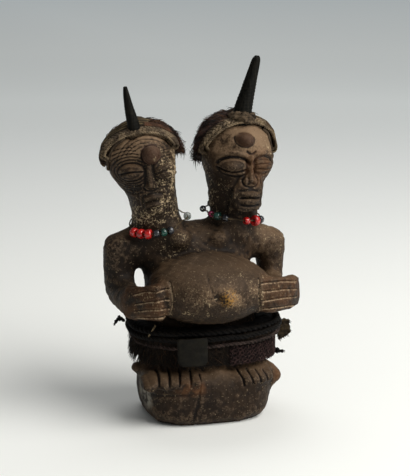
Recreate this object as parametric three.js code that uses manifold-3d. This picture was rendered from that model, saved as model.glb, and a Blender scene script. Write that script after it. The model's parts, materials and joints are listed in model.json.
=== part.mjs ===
// A two-headed carved wooden power figure, standing on its own rounded block. One piece of wood makes the
// block, feet, hips, swollen belly with its hands, arms, shoulders, both necks and both heads. Each head wears a
// hide cap with a plaited band and a small horn let into the crown, and each neck a string of glass beads. A
// skirt, waist cords with their loose ends, a net cloth, a leather tab and a scrap of hide are tied on below the
// belly. Millimetres, +Z up, the figure faces -Y, and the origin is the middle of the block's flat underside.
import * as THREE from "three";
import { mergeVertices } from "three/addons/utils/BufferGeometryUtils.js";
import Module from "manifold-3d";

const wasm = await Module();
wasm.setup();

// Driving dimensions.
const GAP = 0.4; // air between two pieces that touch
const BLOCK = { height: 46, wide: 58, deep: 51, middle: [-1, -7] };
const HIP = { wide: 50, deep: 41 };
const BELLY = { middle: [-3, -38, 122], wide: 57, deep: 47, high: 31 };
const SHOULDER_HEIGHT = 173;
const LEFT_ARM = { x: -75.5, outer: -89, wide: 13.5, deep: 16 };
const RIGHT_ARM = { x: 66, outer: 78.5, wide: 12, deep: 16 };
const HAND = { leftWrist: 113.5, rightWrist: 114.5, tips: 119, half: 16.5, reach: 45, fingers: 4 };
const NECK_HALF = 22;
const SKULL = { wide: 31, deep: 34, back: 4 };
const CAP_THICKNESS = 5.5;
const BAND = { thickness: 5, width: 9 };
const HAIRLINE = { normal: [0, 0.88, 0.47], front: -18 };
const STRING_RADIUS = 0.7;
const BEAD_HOLE_RADIUS = 1.4;
const NECKLACE_RADIUS = 27.6;
const CORD_RADIUS = 2.3;
const SKIRT = { low: 53.6, high: 88, wide: 62, deep: 49, swell: 3, middle: [1, -3] };
const NET_CLOTH = { low: 54.5, high: 71.6, thickness: 2, from: -78, to: -14 };
const TAB = { x: -24, y: -60.6, low: 59, high: 84, wide: 27, thickness: 3, corner: 6 };

const LEFT_HEAD = {
  name: "left",
  at: [-40.5, 0, 172],
  lean: -9,
  turn: -10,
  crown: 94,
  floor: 65,
  bandShift: -1,
  skullShift: -4,
  horn: [
    [-7.6, -13, 80, 5.4],
    [-7.8, -13, 92, 5.2],
    [-8.8, -12.5, 108, 4],
    [-9, -12.2, 121, 2.7],
    [-8.8, -12, 129, 1.3],
  ],
};
const RIGHT_HEAD = {
  name: "right",
  at: [30.5, 0, 172],
  lean: 3,
  turn: 6,
  crown: 98,
  floor: 63,
  bandShift: 0,
  skullShift: 0,
  horn: [
    [-2.8, -10, 90, 8.5],
    [-1.6, -10, 104, 8.1],
    [2, -10, 121, 6.4],
    [5.8, -10, 137, 5],
    [8.2, -10, 147.5, 3.9],
    [9.1, -10, 151.5, 1.8],
  ],
};

// Materials.
const paint = (color, roughness, metalness = 0) =>
  new THREE.MeshStandardMaterial({ color, roughness, metalness });
const materials = {
  wood: paint(0x4a3b2e, 0.7),
  hide: paint(0x4b3322, 0.9),
  plait: paint(0x8a6f4d, 0.85),
  horn: paint(0x1b1916, 0.4),
  string: paint(0x7a6c56, 0.9),
  redGlass: paint(0xa8201f, 0.3),
  greenGlass: paint(0x12352c, 0.3),
  pinkGlass: paint(0x7d1740, 0.3),
  darkGlass: paint(0x191a1c, 0.3),
  clearGlass: paint(0xb9c4bf, 0.15),
  darkCord: paint(0x1d1714, 0.8),
  paleCord: paint(0x6d5a55, 0.85),
  fibre: paint(0x2b2018, 0.95),
  net: paint(0x3a272a, 0.95),
  leather: paint(0x29231b, 0.6),
};

const vector = (p) => new THREE.Vector3(...p);
const radians = THREE.MathUtils.degToRad;
const { lerp, smoothstep, clamp } = THREE.MathUtils;

// Solids and booleans.
function solidOf(geometry) {
  const bare = geometry.clone();
  bare.deleteAttribute("normal");
  bare.deleteAttribute("uv");
  const merged = mergeVertices(bare, 1e-4);
  return new wasm.Manifold(
    new wasm.Mesh({
      numProp: 3,
      vertProperties: new Float32Array(merged.attributes.position.array),
      triVerts: new Uint32Array(merged.index.array),
    }),
  );
}

const joined = (solids) => solids.reduce((all, one) => all.add(one));

// The outer body alone: forms that overlap can close small pockets between them, and wood is solid.
const filled = (solid) => solid.decompose().reduce((a, b) => (a.volume() > b.volume() ? a : b));

function meshOf(name, solid, material) {
  const { vertProperties, triVerts } = solid.getMesh();
  const geometry = new THREE.BufferGeometry();
  geometry.setAttribute("position", new THREE.BufferAttribute(vertProperties, 3));
  geometry.setIndex(new THREE.BufferAttribute(triVerts, 1));
  geometry.computeVertexNormals();
  const mesh = new THREE.Mesh(geometry, material);
  mesh.name = name;
  return mesh;
}

// A point of a rounded-square section: power 2 is an ellipse, and more is squarer.
function sectionPoint(angle, wide, deep, power) {
  const c = Math.cos(angle);
  const s = Math.sin(angle);
  return [
    wide * Math.sign(c) * Math.abs(c) ** (2 / power),
    deep * Math.sign(s) * Math.abs(s) ** (2 / power),
  ];
}

// A solid swept through stations [x, y, z, half width, half depth, power]. The half width lies along the direction
// `across`, as near as the path allows, and the half depth at right angles to both.
function sweep(stations, sides, rings, across = [1, 0, 0]) {
  const path = new THREE.CatmullRomCurve3(stations.map((s) => new THREE.Vector3(s[0], s[1], s[2])));
  const sizes = new THREE.CatmullRomCurve3(
    stations.map((s) => new THREE.Vector3(s[3], s[4], s[5] ?? 2)),
  );
  const geometry = new THREE.CylinderGeometry(1, 1, 1, sides, rings);
  const position = geometry.attributes.position;
  for (let i = 0; i < position.count; i++) {
    const t = clamp(position.getY(i) + 0.5, 0, 1);
    const middle = path.getPoint(t);
    const size = sizes.getPoint(t);
    const along = path.getTangent(t);
    const side = vector(across).addScaledVector(along, -along.dot(vector(across))).normalize();
    const front = along.clone().cross(side);
    const out = Math.hypot(position.getX(i), position.getZ(i));
    const angle = -Math.atan2(position.getZ(i), position.getX(i));
    const [w, d] = out > 0.5 ? sectionPoint(angle, size.x, size.y, size.z) : [0, 0];
    middle.addScaledVector(side, w).addScaledVector(front, d);
    position.setXYZ(i, middle.x, middle.y, middle.z);
  }
  return solidOf(geometry);
}

// An ellipsoid, turned about Z by `turn` degrees.
function swelling(middle, radii, turn = 0, around = 8, up = 5) {
  const geometry = new THREE.SphereGeometry(1, around, up);
  geometry.rotateX(Math.PI / 2);
  geometry.scale(...radii);
  geometry.rotateZ(radians(turn));
  geometry.translate(...middle);
  return solidOf(geometry);
}

// A closed tube round a loop: centreOf(u) gives the centre line for u from 0 to 1.
function loop(centreOf, radius, along, round) {
  const geometry = new THREE.TorusGeometry(1, 0.5, round, along);
  const position = geometry.attributes.position;
  for (let i = 0; i < position.count; i++) {
    const x = position.getX(i);
    const y = position.getY(i);
    const u = (Math.atan2(y, x) / (2 * Math.PI) + 1) % 1;
    const here = centreOf(u);
    const ahead = centreOf((u + 0.002) % 1).sub(here).normalize();
    const up = new THREE.Vector3(0, 0, 1).addScaledVector(ahead, -ahead.z).normalize();
    const out = ahead.clone().cross(up);
    const outward = (Math.hypot(x, y) - 1) / 0.5;
    here.addScaledVector(out, radius * outward).addScaledVector(up, (radius * position.getZ(i)) / 0.5);
    position.setXYZ(i, here.x, here.y, here.z);
  }
  return solidOf(geometry);
}

// Everything on the side of a plane that its normal points to, as a large box.
function halfSpace(point, normal) {
  const size = 400;
  const geometry = new THREE.BoxGeometry(size, size, size);
  geometry.translate(0, 0, size / 2);
  geometry.applyQuaternion(
    new THREE.Quaternion().setFromUnitVectors(new THREE.Vector3(0, 0, 1), vector(normal).normalize()),
  );
  geometry.translate(...point);
  return solidOf(geometry);
}

// The rounded block, with a smooth bulge down its front between the feet.
function carvedBlock() {
  const { height, wide, deep, middle } = BLOCK;
  const block = sweep(
    [
      [...middle, 0, wide - 9, deep - 9, 3],
      [...middle, 4, wide - 3.5, deep - 3, 3.2],
      [...middle, 13, wide, deep, 3.4],
      [...middle, 30, wide, deep, 3.4],
      [...middle, 41, wide - 1, deep - 1.5, 3.2],
      [...middle, height, wide - 6, deep - 6, 3],
    ],
    20,
    6,
  );
  const bulge = sweep(
    [
      [2, -49, 5, 11, 6],
      [2, -50, 14, 13, 9.5],
      [2, -50, 36, 13, 9.5],
      [2, -45, 50, 10, 6],
    ],
    8,
    3,
  );
  const leftRim = swelling([-59, -6, 44], [9.5, 14, 6]);
  return joined([block, bulge, leftRim, leftFoot(), rightFoot()]);
}

// One toe, from its root on the instep to its rounded end over the block's front edge.
function toe(root, end, half) {
  const at = (t, drop) => [lerp(root[0], end[0], t), lerp(root[1], end[1], t), lerp(root[2], end[2], t) - drop];
  return sweep(
    [
      [...at(0, 0), half, 6],
      [...at(0.5, -1.5), half, 6.4],
      [...at(0.88, -0.6), half * 0.95, 5.6],
      [...at(1, 0.6), half * 0.6, 3],
    ],
    5,
    3,
  );
}

function leftFoot() {
  const instep = sweep(
    [
      [-37, -4, 44, 22, 7],
      [-38, -24, 44.5, 26, 7.5],
      [-39, -44, 42, 27, 7],
    ],
    10,
    2,
  );
  const widths = [16, 13.4, 10.6, 11, 10].map((w) => w * 0.9);
  const toes = [];
  let x = -66.5;
  for (const w of widths) {
    const middle = x + w / 2;
    toes.push(toe([middle, -36, 45], [middle - 1.5, -61, 38.5], w * 0.6));
    x += w;
  }
  return joined([instep, ...toes]);
}

function rightFoot() {
  const instep = sweep(
    [
      [42, -2, 44, 16, 7],
      [40, -22, 45, 19, 8],
      [35, -40, 42, 19, 7.5],
    ],
    10,
    2,
  );
  const ankle = new THREE.Vector3(39, -22, 46);
  const toes = [
    [19, -57, 39, 6.2],
    [29, -59.5, 37.5, 5],
    [38, -57.5, 36.5, 4.6],
    [46, -53, 36, 4.6],
    [53.5, -46, 36, 4.8],
  ].map(([x, y, z, half]) => {
    const end = new THREE.Vector3(x, y, z);
    const root = ankle.clone().lerp(end, 0.35);
    return toe(root.toArray(), [x, y, z], half);
  });
  const outerEdge = swelling([57.5, -19, 33.5], [12, 17, 11.5], 8, 10, 6);
  return joined([instep, outerEdge, ...toes]);
}

// Hips, waist and chest as one upright form, grown on every side for what has to clear it.
function carvedTrunk(grow = 0) {
  const { wide, deep } = HIP;
  const stations = [
    [0, -1, 38, wide, deep, 2.4],
    [0, -1, 60, wide + 1, deep + 1, 2.4],
    [-1, -1, 84, wide, deep, 2.4],
    [-3, 0, 106, wide - 1, deep - 4, 2.3],
    [-4.5, 2, 130, wide - 1, deep - 9, 2.3],
    [-4.5, 3, 150, wide + 1, deep - 14, 2.3],
    [-4.5, 2, 166, wide - 5, deep - 21, 2.2],
    [-4.5, 1, SHOULDER_HEIGHT, 30, 12, 2],
  ];
  return sweep(stations.map(([x, y, z, w, d, p]) => [x, y, z, w + grow, d + grow, p]), 16, 8);
}

function carvedShoulders() {
  const top = SHOULDER_HEIGHT;
  return sweep(
    [
      [LEFT_ARM.outer, 3, top - 20, 8, 6],
      [LEFT_ARM.outer + 2.5, 3, top - 20, 14, 12],
      [LEFT_ARM.outer + 12, 3, top - 20, 16, 18],
      [-52, 2, top - 19.5, 17, 19.5],
      [-22, 1, top - 16, 17, 17],
      [2, 1, top - 13, 17, 17.5],
      [30, 1, top - 15, 17, 16],
      [RIGHT_ARM.outer - 14, 2, top - 21, 16, 17],
      [RIGHT_ARM.outer - 3, 3, top - 22, 14, 10.5],
      [RIGHT_ARM.outer, 3, top - 23, 8, 5],
    ],
    8,
    11,
    [0, 1, 0],
  );
}

// One arm: side -1 is the arm at -X. The forearm runs forward from the elbow to the hand.
function carvedArm(side, { x, wide, deep }) {
  const upper = sweep(
    [
      [x, 3, 158, wide, deep, 3],
      [x, 4, 138, wide, deep, 3],
      [x, 6, 120, wide, deep, 3],
      [x - side * 3, 5, 107, wide - 3, deep - 3, 3],
      [x - side * 5, 1, 99, 5, 8, 2],
    ],
    8,
    4,
  );
  const forearm = sweep(
    [
      [x - side, 21, 115, 6, 8],
      [x - side, 10, 115.5, wide - 1, 15, 3],
      [x - side * 3, -12, 114, wide - 1, 15.5, 3],
      [x - side * 3.5, -28, 112, wide - 2, 14, 3],
      [x - side * 6.5, -38, 112, wide - 5, 12, 3],
    ],
    8,
    4,
  );
  const breast = swelling([side * 18.5 - 7, -17, 162 - side], [12 - side, 9 - side, 10.5 - side]);
  return joined([upper, forearm, breast]);
}

// A hand laid on the belly: a slab along a curve, with its fingers as raised bars. Side -1 is the hand at -X.
function carvedHand(side) {
  const { tips, half, reach, fingers } = HAND;
  const wrist = side < 0 ? HAND.leftWrist : HAND.rightWrist;
  const route = [
    [side * 75.5, -27, wrist],
    [side * 73.5, -36, wrist],
    [side * 63, -51, lerp(wrist, tips, 0.5)],
    [side * reach - 6, -65, tips],
  ];
  const upright = [0, 0, 1];
  const solids = [sweep(route.map((p, i) => [...p, i === 0 ? half - 4 : half, 7, 3]), 8, 4, upright)];
  for (let i = 0; i < fingers; i++) {
    const rise = lerp(-1, 1, (i + 0.5) / fingers) * half;
    const bar = route.slice(1).map(([x, y, z], k) => {
      const out = new THREE.Vector3(x, y + 20, 0).normalize();
      return [x + out.x * 5.5, y + out.y * 5.5, z + rise * 0.94, half / fingers, 3.4 - k * 0.4];
    });
    solids.push(sweep(bar, 4, 2, upright));
  }
  return joined(solids);
}

function carvedBelly() {
  const { middle, wide, deep, high } = BELLY;
  const belly = swelling(middle, [wide, deep, high], 0, 18, 10);
  const navel = swelling([middle[0] + 4, middle[1] - deep, middle[2] + 1], [7, 4, 5.5]);
  return joined([belly, navel, carvedHand(-1), carvedHand(1)]);
}

// A head in its own frame: +Z up the neck, face to -Y, z = 0 where the neck leaves the shoulders. `grow` is an
// outset on every side, for the shells that fit over the skull.
function skull({ crown, skullShift }, grow = 0) {
  const { wide, deep, back } = SKULL;
  const neck = NECK_HALF + grow;
  return sweep(
    [
      [0, 2, -14, neck, neck],
      [0, 2, 8, neck, neck],
      [0, 2, 28, neck - 0.5, neck],
      [skullShift * 0.2, back, 40, wide - 4 + grow + skullShift * 0.8, deep - 6 + grow],
      [skullShift, back, 56, wide + grow, deep + grow],
      [skullShift, back, 72, wide + grow, deep + grow],
      [skullShift, back, crown - 9, wide - 7 + grow, deep - 7 + grow],
      [skullShift, back, crown - 2, wide - 18 + grow, deep - 20 + grow],
      [skullShift, back, crown + grow, 3, 3],
    ],
    14,
    10,
  );
}

// Raised almond eyes, each with a slit across it, at a level for the eye at -X and for the one at +X.
function eyes(levels, front, spread, half) {
  const parts = levels.map((level, i) => {
    const side = i === 0 ? -1 : 1;
    const ball = swelling([side * spread, front + 3.5, level], [half[0], 6.5, half[1]], side * 24);
    const slit = new THREE.BoxGeometry(half[0] * 1.7, 4, 1.3);
    slit.rotateZ(radians(side * 24));
    slit.translate(side * spread, front - 2.4, level - 1);
    return ball.subtract(solidOf(slit));
  });
  return joined(parts);
}

function nose(top, tip, front, length) {
  return sweep(
    [
      [0, front + 4, top, 2.4, 3],
      [0, front + 1.5, lerp(top, tip, 0.5), 3.4, 4.5],
      [0, front - length + 5, tip + 2, 5, 5.5],
      [0, front - length + 6.5, tip - 1.5, 3.4, 3.5],
    ],
    6,
    3,
  );
}

// The domed boss in the middle of the forehead.
const boss = (across, level, half) => swelling([across, -28.5, level], [half[0], 7, half[1]], 0, 8, 6);

const lips = (levels, front, half) =>
  levels.map((level) => swelling([0, front, level], half, 0, 6, 4));

// The left face runs down into a broad beard against the neck, with a ribbed, boxed mouth.
function leftFace() {
  const beard = sweep(
    [
      [0, -5, 14, 17, 16, 2.4],
      [0, -7, 24, 19, 18.5, 2.6],
      [0, -6, 38, 21, 20.5, 2.4],
      [0, -3, 52, 26, 25],
      [0, -1, 62, 25, 26],
    ],
    12,
    4,
  );
  const features = [
    eyes([57.5, 53.5], -28, 15, [11.5, 8]),
    nose(61, 41, -27, 6),
    boss(4, 71, [8, 8]),
    ...lips([24, 28, 32], -24, [8.4, 4, 2]),
  ];
  return joined([beard, ...features]);
}

// The right face tapers to a square chin that stands clear of the neck.
function rightFace() {
  const wedge = sweep(
    [
      [0, -20, 16, 12.5, 15, 3.6],
      [0, -20, 19, 14, 17, 3.4],
      [0, -18, 30, 15.5, 17.5, 3],
      [0, -13, 42, 21.5, 18, 2.5],
      [0, -6, 54, 27.5, 23, 2.2],
      [0, -2, 64, 26, 25, 2],
    ],
    12,
    5,
  );
  const throat = sweep(
    [
      [-1.5, 1, 13, 21, 20],
      [-4, 1, 20, 21.5, 20.5],
      [-4, 1, 34, 22.5, 21.5],
      [-2, 2, 48, 26, 24],
    ],
    12,
    3,
  );
  const features = [
    throat,
    swelling([21, -2, 56.5], [13, 22, 13.5]),
    swelling([-21, -2, 58], [12.5, 22, 12.5]),
    eyes([55, 56], -28.5, 14, [11.5, 6]),
    nose(61, 41.5, -27.5, 9.5),
    boss(-4.5, 79, [8.5, 6.2]),
    ...lips([26.4, 31], -35, [8, 4.4, 2.6]),
  ];
  return joined([wedge, ...features]);
}

// Everything behind the hairline, a plane that leans back over the forehead, less a strip of the given width.
function behindHairline(head, strip) {
  const normal = vector(HAIRLINE.normal).normalize();
  const point = new THREE.Vector3(0, HAIRLINE.front, head.crown - 9).addScaledVector(normal, strip);
  return halfSpace(point.toArray(), normal.toArray());
}
const aboveCapFloor = (head) => halfSpace([0, -5, head.floor], [0, 0.3, 1]);

// A shell over the skull, from `near` to `far` behind the hairline, clear of the horn and of the face.
function shellOver(head, thickness, near, far, cuts) {
  const outer = skull(head, thickness).translate([far ? head.bandShift : 0, 0, 0]);
  let shell = outer.subtract(skull(head, GAP)).intersect(behindHairline(head, near));
  if (far) {
    shell = shell.subtract(behindHairline(head, far));
  }
  return cuts.reduce((rest, cut) => rest.subtract(cut), shell.intersect(aboveCapFloor(head)));
}

// A small horn, base down, let a little way into the crown. `grow` makes its socket.
function horn({ horn: stations }, grow = 0) {
  const sized = stations.map(([x, y, z, r], i) => [x, y, i === 0 ? z - grow : z, r + grow, r + grow]);
  return sweep(sized, 9, 6);
}

function headGroup(head) {
  const group = new THREE.Group();
  group.position.set(...head.at);
  group.rotation.set(0, radians(head.lean), radians(head.turn), "YZX");
  group.updateMatrixWorld(true);
  return group;
}

// A head's own pieces in its group, and its share of the carving.
function dressHead(head, face, group) {
  const socket = horn(head, GAP);
  const { thickness, width } = BAND;
  const capShell = shellOver(head, CAP_THICKNESS, width + GAP, 0, [socket, face]);
  const bandShell = shellOver(head, thickness, 0, width, [socket, face]);
  group.add(meshOf(head.name + "_hide_cap", capShell, materials.hide));
  group.add(meshOf(head.name + "_plaited_band", bandShell, materials.plait));
  group.add(meshOf(head.name + "_horn", horn(head), materials.horn));
  return skull(head).add(face).subtract(socket).transform(group.matrixWorld.toArray());
}

// A necklace lies round a neck in a tilted ring, highest at `high` degrees. Each bead is [degrees round the ring,
// radius, length, material].
function necklace(side, middle, height, tilt, high, beads) {
  const group = new THREE.Group();
  const pointAt = (degrees) => {
    const angle = radians(degrees);
    const x = middle[0] + NECKLACE_RADIUS * Math.cos(angle);
    const y = middle[1] + NECKLACE_RADIUS * Math.sin(angle);
    return new THREE.Vector3(x, y, height + tilt * Math.cos(angle - radians(high)));
  };
  const string = loop((u) => pointAt(360 * u), STRING_RADIUS, 18, 4);
  group.add(meshOf(side + "_necklace_string", string, materials.string));
  beads.forEach(([degrees, radius, length, material], i) => {
    const half = length / 2;
    const profile = [
      [BEAD_HOLE_RADIUS, -half],
      [radius, -half],
      [radius, half],
      [BEAD_HOLE_RADIUS, half],
      [BEAD_HOLE_RADIUS, -half],
    ].map(([x, y]) => new THREE.Vector2(x, y));
    const name = side + "_bead_" + String(i + 1).padStart(2, "0");
    const bead = meshOf(name, solidOf(new THREE.LatheGeometry(profile, 6)), material);
    const along = pointAt(degrees + 1).sub(pointAt(degrees - 1)).normalize();
    bead.position.copy(pointAt(degrees));
    bead.quaternion.setFromUnitVectors(new THREE.Vector3(0, 1, 0), along);
    group.add(bead);
  });
  return group;
}

// The skirt's outer half sizes at a height, grown for what lies over it: it swells out under the belly.
function skirtHalf(z, grow = 0) {
  const swell = SKIRT.swell * smoothstep(z, 70, 80) * (1 - smoothstep(z, 84, 92));
  return [SKIRT.wide + swell + grow, SKIRT.deep + swell + grow];
}

function skirtForm(low, high, grow) {
  const stations = [0, 0.25, 0.5, 0.75, 1].map((t) => {
    const z = lerp(low, high, t);
    return [...SKIRT.middle, z, ...skirtHalf(z, grow), 2.5];
  });
  return sweep(stations, 20, 4);
}

// A piece of net cloth over the skirt's right front, between two upright planes.
function netCloth() {
  const { low, high, thickness, from, to } = NET_CLOTH;
  const middle = [...SKIRT.middle, 0];
  const edge = (degrees, side) => {
    const angle = radians(degrees);
    return halfSpace(middle, [-side * Math.sin(angle), side * Math.cos(angle), 0]);
  };
  return skirtForm(low, high, GAP + thickness)
    .subtract(skirtForm(low - 1, high + 1, GAP))
    .intersect(edge(from, 1))
    .intersect(edge(to, -1));
}

// A cord round the waist, over the skirt, whose height follows round the figure. It is highest at `high` degrees.
function waistCord(height, tilt, high, radius = CORD_RADIUS) {
  const centreOf = (u) => {
    const angle = u * 2 * Math.PI;
    const z = height + tilt * Math.cos(angle - radians(high));
    const [x, y] = sectionPoint(angle, ...skirtHalf(z, radius + GAP + 0.6), 2.5);
    return new THREE.Vector3(SKIRT.middle[0] + x, SKIRT.middle[1] + y, z);
  };
  return loop(centreOf, radius, 24, 4);
}

// The leather tab, a plate with round lower corners.
function leatherTab() {
  const { x, y, low, high, wide, thickness, corner } = TAB;
  const half = wide / 2;
  const outline = new THREE.Shape();
  outline.moveTo(-half, high).lineTo(-half, low + corner);
  outline.quadraticCurveTo(-half, low, -half + corner, low).lineTo(half - corner, low);
  outline.quadraticCurveTo(half, low, half, low + corner).lineTo(half, high);
  outline.closePath();
  const options = { depth: thickness, bevelEnabled: false, curveSegments: 3 };
  const geometry = new THREE.ExtrudeGeometry(outline, options);
  geometry.rotateX(Math.PI / 2);
  geometry.rotateZ(radians(-3));
  geometry.translate(x, y, 0);
  return solidOf(geometry);
}

// The scrap of hide that stands out at the right, a ragged-edged plate.
function hideScrap() {
  const outline = new THREE.Shape();
  outline.moveTo(70.3, 78).lineTo(76, 81).lineTo(82.5, 79.5).lineTo(81.5, 74).lineTo(83, 68);
  outline.lineTo(78, 64).lineTo(71, 61).lineTo(70.1, 66).closePath();
  const geometry = new THREE.ExtrudeGeometry(outline, { depth: 4, bevelEnabled: false });
  geometry.rotateX(Math.PI / 2);
  geometry.translate(0, -6, 0);
  return solidOf(geometry);
}

// The knotted ends of the waist cords that stand out at the sides.
const cordEnd = (name, stations) => meshOf(name, sweep(stations, 6, 4), materials.darkCord);
const LEFT_CORD_END = [
  [-74.5, -12, 90, 2.2, 2.2],
  [-79, -14, 94, 2.6, 2.6],
  [-83.5, -15, 90, 1.6, 1.6],
];
const RIGHT_CORD_END = [
  [66, -8, 55, 1.6, 1.6],
  [70, -9.5, 51, 1.7, 1.7],
  [75, -10, 50.5, 1, 1],
];

// Assembly.
const figure = new THREE.Group();
const leftHead = headGroup(LEFT_HEAD);
const rightHead = headGroup(RIGHT_HEAD);
figure.add(leftHead, rightHead);

const carved = joined([
  carvedBlock(),
  carvedTrunk(),
  carvedShoulders(),
  carvedArm(-1, LEFT_ARM),
  carvedArm(1, RIGHT_ARM),
  carvedBelly(),
  dressHead(LEFT_HEAD, leftFace(), leftHead),
  dressHead(RIGHT_HEAD, rightFace(), rightHead),
]);
figure.add(meshOf("carved_figure", filled(carved), materials.wood));

const { redGlass, darkGlass, greenGlass, pinkGlass, clearGlass } = materials;
figure.add(
  necklace("left", [-41, 2], 177.5, 7.5, 50, [
    [212, 4.3, 5.6, redGlass],
    [227, 4.5, 5.6, redGlass],
    [242, 4.6, 6, redGlass],
    [257, 3.6, 5, darkGlass],
    [270, 3.6, 5, greenGlass],
    [283, 3.6, 5, darkGlass],
    [347, 3.5, 5, clearGlass],
    [60, 3.6, 5, darkGlass],
    [90, 3.6, 5, redGlass],
    [120, 3.6, 5, darkGlass],
  ]),
  necklace("right", [30, 2], 181.5, 4.5, 140, [
    [175, 3, 2.4, darkGlass],
    [208, 2.7, 4, pinkGlass],
    [224, 3.6, 5.4, greenGlass],
    [240, 3.4, 5, darkGlass],
    [280, 3.6, 5, redGlass],
    [300, 4.9, 6, redGlass],
    [316, 3.6, 5, darkGlass],
    [50, 3.6, 5, darkGlass],
    [85, 3.6, 5, redGlass],
    [120, 3.6, 5, darkGlass],
  ]),
);

const skirt = skirtForm(SKIRT.low, SKIRT.high, 0).subtract(carvedTrunk(GAP));
figure.add(
  meshOf("fibre_skirt", skirt, materials.fibre),
  meshOf("net_cloth", netCloth(), materials.net),
  meshOf("upper_waist_cord", waistCord(87, 1.5, 20), materials.darkCord),
  meshOf("middle_waist_cord", waistCord(81.8, 2, 20), materials.darkCord),
  meshOf("lower_waist_cord", waistCord(75.6, 3, 40, 1.9), materials.paleCord),
  meshOf("leather_tab", leatherTab(), materials.leather),
  meshOf("hide_scrap", hideScrap(), materials.fibre),
  cordEnd("left_cord_end", LEFT_CORD_END),
  cordEnd("right_cord_end", RIGHT_CORD_END),
);

export default figure;
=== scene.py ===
# The finished surfaces of a two-headed carved figure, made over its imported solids: dusty carved wood, hide caps
# with their hair, plaited bands, horns, glass beads, cords, a fibre skirt, a net cloth and a leather tab.
import json
import math

import bpy
import numpy as np
from mathutils import Matrix, Vector
from mathutils.bvhtree import BVHTree


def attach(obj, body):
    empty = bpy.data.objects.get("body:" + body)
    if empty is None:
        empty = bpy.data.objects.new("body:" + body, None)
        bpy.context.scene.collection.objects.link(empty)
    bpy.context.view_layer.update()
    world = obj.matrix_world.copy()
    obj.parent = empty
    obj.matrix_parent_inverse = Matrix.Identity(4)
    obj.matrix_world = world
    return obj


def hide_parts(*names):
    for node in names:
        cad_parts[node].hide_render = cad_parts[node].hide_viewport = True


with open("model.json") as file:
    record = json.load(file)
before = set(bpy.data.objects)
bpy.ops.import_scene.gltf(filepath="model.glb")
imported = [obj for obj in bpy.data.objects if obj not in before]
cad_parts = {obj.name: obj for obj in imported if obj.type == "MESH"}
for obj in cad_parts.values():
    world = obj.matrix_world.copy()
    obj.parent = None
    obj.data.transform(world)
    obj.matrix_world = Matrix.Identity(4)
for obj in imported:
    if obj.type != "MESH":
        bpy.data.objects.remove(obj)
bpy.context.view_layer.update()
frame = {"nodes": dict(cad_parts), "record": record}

MM = 0.001

# The heads' places, as the solids have them: millimetres and degrees.
LEFT_HEAD = {"at": (-40.5, 0.0, 172.0), "lean": -9.0, "turn": -10.0, "crown": 94.0}
RIGHT_HEAD = {"at": (30.5, 0.0, 172.0), "lean": 3.0, "turn": 6.0, "crown": 98.0}
HAIRLINE_NORMAL = np.array((0.0, 0.88, 0.47)) / math.hypot(0.88, 0.47)
HAIRLINE_FRONT = -18.0
SKIRT_MIDDLE = np.array((1.0, -3.0))


# Handling pieces.
def pick(piece):
    """Makes a piece the only one selected, and the active one."""
    bpy.ops.object.select_all(action="DESELECT")
    piece.select_set(True)
    bpy.context.view_layer.objects.active = piece


def finish_with(piece, kind, **settings):
    """Adds a modifier and applies it."""
    pick(piece)
    modifier = piece.modifiers.new(kind.lower(), kind)
    for name, value in settings.items():
        setattr(modifier, name, value)
    bpy.ops.object.modifier_apply(modifier=modifier.name)


def added(name):
    """The primitive that was added last, named."""
    piece = bpy.context.object
    piece.name = name
    piece.data.name = name
    return piece


def piece_of(name, points, faces):
    """A piece from points in millimetres."""
    mesh = bpy.data.meshes.new(name)
    mesh.from_pydata((np.asarray(points) * MM).tolist(), [], faces)
    piece = bpy.data.objects.new(name, mesh)
    bpy.context.scene.collection.objects.link(piece)
    return piece


def copy_of(node, name):
    """A new piece with a node's shape, its loose triangles merged."""
    mesh = frame["nodes"][node].data.copy()
    mesh.name = name
    mesh.materials.clear()
    piece = bpy.data.objects.new(name, mesh)
    bpy.context.scene.collection.objects.link(piece)
    pick(piece)
    bpy.ops.object.mode_set(mode="EDIT")
    bpy.ops.mesh.select_all(action="SELECT")
    bpy.ops.mesh.remove_doubles(threshold=0.01 * MM)
    bpy.ops.object.mode_set(mode="OBJECT")
    return piece


def settle(piece, material, slot, *nodes, angle=None):
    """Finishes a piece: its material, smooth faces, its body and the nodes that it stands for, which it hides; the
    slot is not used.
    """
    piece.data.materials.clear()
    piece.data.materials.append(material)
    pick(piece)
    if angle is None:
        bpy.ops.object.shade_smooth()
    else:
        bpy.ops.object.shade_smooth_by_angle(angle=math.radians(angle))
    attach(piece, "root")
    if nodes:
        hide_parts(*nodes)
    return piece


def points_of(piece, kind="co"):
    """A piece's points in millimetres, or its point normals."""
    data = np.empty(len(piece.data.vertices) * 3)
    piece.data.vertices.foreach_get(kind, data)
    data = data.reshape(-1, 3)
    return data / MM if kind == "co" else data


def place_points(piece, points):
    piece.data.vertices.foreach_set("co", (points * MM).ravel())
    piece.data.update()


def store(piece, name, values):
    """Keeps one number for each point, for a material to read."""
    attribute = piece.data.attributes.new(name, "FLOAT", "POINT")
    attribute.data.foreach_set("value", np.asarray(values, dtype=np.float32))


# Shaping in code.
def ease(t):
    t = np.clip(t, 0.0, 1.0)
    return t * t * (3 - 2 * t)


def between(values, low, high):
    """0 below low, 1 above high, eased between; the other way round where high is below low."""
    return ease((values - low) / (high - low))


def turned(axis, degrees):
    return np.array(Matrix.Rotation(math.radians(degrees), 3, axis))


def head_turn(head):
    """A head's own directions, as the columns of a matrix."""
    return turned("Y", head["lean"]) @ turned("Z", head["turn"])


def in_head(head, points):
    return (points - np.array(head["at"])) @ head_turn(head)


def out_of_head(head, points):
    return np.asarray(points) @ head_turn(head).T + np.array(head["at"])


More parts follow.
